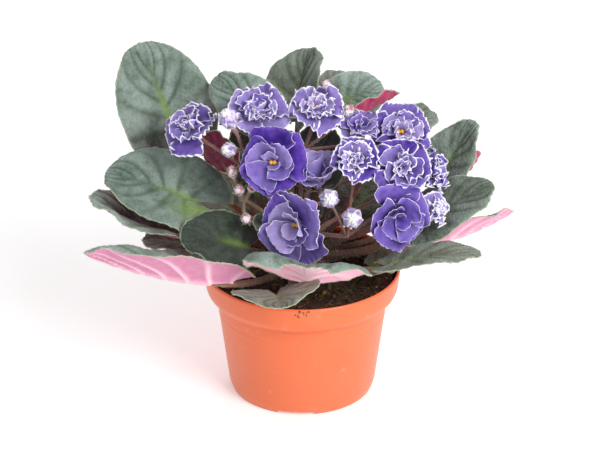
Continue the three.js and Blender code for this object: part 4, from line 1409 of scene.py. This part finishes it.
def bud_form(at, face, radius, length, petals, rings, sides):
    """Points, faces and edge distance of a ball of wrapped petals."""
    share = np.linspace(0, 1, rings + 1)[:, None]
    column = np.arange(sides)[None, :]
    wrap = (column * petals / sides) % 1.0
    body = np.interp(share, np.linspace(0, 1, 5), BUD_PROFILE)
    body = body * (1 - 0.25 * smooth(share, 0.9, 1.0))
    turn = column / sides * 2 * math.pi + 0.9 * share
    wave = np.sin(share * 26 + np.floor(column * petals / sides) * 2.1)
    reach = radius * body * (0.88 + 0.17 * wrap**1.4 + 0.09 * wave * smooth(wrap, 0.45, 1.0))
    top = length * (share - 0.5)
    top = top + 0.12 * radius * smooth(share, 0.7, 1) * np.sin(column * petals / sides * 6.3)
    first = around(face, 0.0)
    second = around(face, math.pi / 2)
    points = (
        at + (reach * np.cos(turn))[..., None] * first + (reach * np.sin(turn))[..., None] * second
        + top[..., None] * face
    )
    gap = (1 - wrap) * 2 * math.pi * radius * body / petals
    near_tip = (1 - share) * length * 0.6
    return points.reshape(-1, 3), capped_faces(rings + 1, sides), np.minimum(gap, near_tip).ravel()


def hairs_on_bud(points, middle, count, length, rng):
    picks = rng.integers(0, len(points), count)
    add_hairs(stalk_down, points[picks], points[picks] - middle, length, rng)


def make_bud(name, number):
    at, face, radius, length = BUDS[name]
    at, face = array(at), unit(face)
    rng = np.random.default_rng(300 + number)
    skin = Skin()
    points, faces, gap = bud_form(at, face, radius, length, 6, 30, 60)
    skin.add(points, faces, edge=gap, rosy=0.15)
    hairs_on_bud(points, at, BUD_HAIRS, 0.9, rng)
    return make_piece("frilled_bud_" + name, skin, DOWNY_BUD, "bud_" + name)


for number, name in enumerate(BUDS):
    make_bud(name, number)

# %% [markdown]
# ## Sprays
# The flower stalks are fleshy, red-brown and downy. Each divides once, and every branch ends in a cup with
# five narrow sepals that hold the bloom or bud. The smallest buds are part of the spray itself: they are
# still wrapped in their sepals and show only a rosy white tip.

# %% Stalk finish
stalk_finish = Finish("fleshy_stalk", Sheen_Weight=0.4, Sheen_Roughness=0.5, Specular_IOR_Level=0.4)
cloud = stalk_finish.noise(4.0, 3.0)
fuzz = stalk_finish.noise(0.6, 2.0)
bud_colour = stalk_finish.blend(stalk_finish.step(cloud, 0.42, 0.62), "f4eef2", "c8647c")
stem_colour = stalk_finish.layers(
    stalk_finish.blend(cloud, "6d322e", "a2645a"),
    (stalk_finish.measure("olive") * 0.85, "8c7a4c"),
    (fuzz * 0.35, "cdb2a6"),
    (stalk_finish.measure("sepal") * 0.75, "75744d"),
    (stalk_finish.measure("bud"), bud_colour),
)
FLESHY_STALK = stalk_finish.paint(
    Base_Color=stem_colour,
    Roughness=0.5 + fuzz * 0.25,
    Normal=stalk_finish.bumps(fuzz, 0.2, 0.6),
)
print("finish:", FLESHY_STALK.name)

# %% Grow the sprays
# Each stalk's angle round the crown, where it forks, its blooms, its large buds, and the places of its small
# buds.
SPRAYS = {
    "left": (172, (-34, 4, 146), ("far_left", "left_top"), ("left", "left_low"), ()),
    "left_front": (-150, (-36, -10, 132), (), (),
                   ((-42, -12, 150), (-38, -14, 139), (-30, -16, 142), (-34, -22, 124))),
    "centre": (-105, (-4, -6, 124), ("centre", "middle", "front"), (), ()),
    "right_front": (-40, (28, -14, 108), ("right_low", "middle_right"), ("front", "front_right"), ()),
    "right": (5, (47, 6, 124), ("right_top", "right", "right_edge", "right_small"), (), ()),
    "back": (125, (1, 18, 153), ("top", "top_right"), (), ((14.5, 30, 188.5), (28, 10, 181))),
    "rear": (86, (3, 34, 116), ("rear_left", "rear_right"), (), ()),
}
SEPAL_SHAPE = {**PETAL_SHAPE, "egg": 0.1, "start": 0.3, "end": 0.15, "curl": 30, "nick": 0.0, "frill": 0.0}
SEPALS = 5
SEPAL_HAIRS = 16
SMALL_BUD = {"radius": 3.4, "length": 8.4, "hairs": 170}
# How long the sepals are and how many degrees they spread. Under a large bud, their length is a share of the
# bud's.
BLOOM_SEPALS = (8.0, 66)
SMALL_SEPALS = (6.6, 28)
BUD_SEPALS = (0.62, 34)
CUP_RADIUS = 1.9
SMALL_CUP_RADIUS = 1.2
STALK_RADIUS = 1.35
PEDICEL_RADIUS = 0.9


def add_sepals(skin, at, face, length, spread, seed, rng):
    """Five narrow sepals that rise from a cup. The spread is their angle away from the face."""
    for k in range(SEPALS):
        turn = 2 * math.pi * (k + 0.1 * swing(seed, k)) / SEPALS
        outward = around(face, turn)
        lean = math.radians(spread + 9 * swing(seed, k + 5))
        along = face * math.cos(lean) + outward * math.sin(lean)
        inner = face * math.sin(lean) - outward * math.cos(lean)
        base = at + outward * 1.1
        s = blade_of(
            SEPAL_SHAPE, base=base, tip=base + along * length, face=inner, width=length * 0.34,
            fold=(12, 12), droop=0.06, wave=0.1, phase=seed + k,
        )
        add_blade(skin, s, thickness=0.5, pitch=0.8, relief=flat, rib=flat, sepal=1.0)
        u = rng.random(SEPAL_HAIRS)
        roots = blade_points(s, u, rng.choice([-1.0, 1.0], SEPAL_HAIRS))
        add_hairs(stalk_down, roots, outward - face * 0.2, 0.9, rng)


def make_spray(name, number):
    root_angle, fork, blooms, buds, small = SPRAYS[name]
    rng = np.random.default_rng(400 + number)
    olive = float(name == "left_front")
    root = on_crown(root_angle, CROWN["top"] - 2) * [0.6, 0.6, 1]
    fork = array(fork)
    rise = root + (fork - root) * 0.2 + array([0, 0, 4])
    skin = Skin()

    def stem(line, radii, sides):
        steps = 6 + int(np.linalg.norm(array(line[-1]) - array(line[0])) / 2.2)
        points, faces, outward = tube(line, radii, sides, steps)
        skin.add(points, faces, olive=olive)
        hairs_on_tube(stalk_down, points, outward, sides, 6, 0.95, rng)

    def branch(end, face, cup):
        start = fork + (rise - fork) * 0.04
        r = PEDICEL_RADIUS
        stem([start, end - face * 8, end], [r, r, r, r * 1.1, cup], 10)

    r = STALK_RADIUS
    stem([root, rise, fork], [1.2 * r, r, 0.85 * r], 12)
    for k, key in enumerate(blooms):
        at, face = array(BLOOMS[key][0]), unit(BLOOMS[key][1])
        branch(at - face * (BLOOM["back"] - 0.6), face, CUP_RADIUS)
        add_sepals(skin, at - face * 2.9, face, *BLOOM_SEPALS, 31 + 7 * number + k, rng)
    for k, key in enumerate(buds):
        at, face = array(BUDS[key][0]), unit(BUDS[key][1])
        radius, length = BUDS[key][2:]
        foot = at - face * length / 2
        branch(foot + face * 0.5, face, CUP_RADIUS)
        share, spread = BUD_SEPALS
        add_sepals(skin, foot, face, length * share, spread, 61 + 7 * number + k, rng)
    for k, place in enumerate(small):
        at = array(place)
        outward = unit(at - fork)
        face = unit(outward * 0.7 + array([0, -0.3, 1]) * 0.3)
        branch(at - face * 2.5, face, SMALL_CUP_RADIUS)
        points, faces, _ = bud_form(at, face, SMALL_BUD["radius"], SMALL_BUD["length"], 5, 16, 30)
        skin.add(points, faces, bud=1.0)
        add_sepals(skin, at - face * 3.4, face, *SMALL_SEPALS, 91 + 7 * number + k, rng)
        hairs_on_bud(points, at, SMALL_BUD["hairs"], 1.1, rng)
    return make_piece("flower_spray_" + name, skin, FLESHY_STALK, "spray_" + name)


for number, name in enumerate(SPRAYS):
    make_spray(name, number)

# %% [markdown]
# ## Crown
# Every petiole and stalk springs from one short fleshy stem. It is barely seen, between the petioles, so a
# turned body with old leaf scars pressed into it is enough.

# %% The crown and the down
CROWN_SEGMENTS = 72


def make_crown():
    profile = [
        [0, CROWN["base"]],
        [CROWN_RADIUS, CROWN["base"]],
        [CROWN_RADIUS, CROWN["shoulder"]],
        [CROWN_RADIUS * 0.8, 96],
        [CROWN_RADIUS * 0.4, CROWN["top"]],
        [0, CROWN["top"]],
    ]
    fine = [profile[0]]
    for (r0, z0), (r1, z1) in zip(profile[:-1], profile[1:]):
        fine += [[r0 + (r1 - r0) * t, z0 + (z1 - z0) * t] for t in np.linspace(0, 1, 12)[1:]]
    points, faces = turned(rounded(fine, 2.0, 2), CROWN_SEGMENTS)
    for point in points:
        scar = noise.noise(Vector(point) * 0.22) * 0.9 + noise.noise(Vector(point) * 0.8) * 0.25
        reach = math.hypot(point[0], point[1])
        if reach > 1:
            point[:2] *= 1 - (0.35 + abs(scar)) / max(reach, 6)
    skin = Skin()
    skin.add(points, faces, olive=0.5)
    return make_piece("short_stem", skin, FLESHY_STALK, "crown")


make_crown()
make_piece("down_on_leaves", leaf_down, WHITE_DOWN)
make_piece("down_on_stalks", stalk_down, WHITE_DOWN)

# %% [markdown]
# ## Studio
# The plant stands on a plain pale floor in broad soft light: a pale sky for the shadows, a large panel in
# front to the right with a weak low one below it, and one behind that catches the edges of the leaves. There
# is none on the left, so that the pot turns away into shade there.

# %% Floor and lights
FLOOR_REACH = 6.0
WHITE = (1.0, 1.0, 1.0, 1.0)
SKY_STRENGTH = 0.52
PLANT_MIDDLE = (0, 0, 0.12)
PANEL_SIZE = 0.9

corners = [(x * FLOOR_REACH, y * FLOOR_REACH, 0.0) for x, y in ((-1, -1), (1, -1), (1, 1), (-1, 1))]
floor = place_object("floor", new_mesh("floor", corners, [(0, 1, 2, 3)]))
floor_finish = Finish(
    "pale_floor", Roughness=0.9, Base_Color=(0.9, 0.9, 0.9, 1.0), Emission_Color=WHITE, Emission_Strength=0.3
)
floor.data.materials.append(floor_finish.material)

world = bpy.data.worlds.new("pale sky")
world.use_nodes = True
background = world.node_tree.nodes["Background"]
background.inputs["Color"].default_value = WHITE
background.inputs["Strength"].default_value = SKY_STRENGTH
bpy.context.scene.world = world
bpy.context.scene.view_settings.view_transform = "Standard"


def panel(name, place, power):
    """A square soft light that looks at the middle of the plant."""
    light = bpy.data.lights.new(name, "AREA")
    light.size = PANEL_SIZE
    light.energy = power
    made = place_object(name, light)
    made.location = place
    made.rotation_euler = towards(place, PLANT_MIDDLE)
    return made


panel("front panel", (1.0, -1.3, 1.3), 28)
panel("low panel", (0.9, -1.5, 0.25), 4)
panel("back panel", (0.3, 1.5, 1.3), 10)
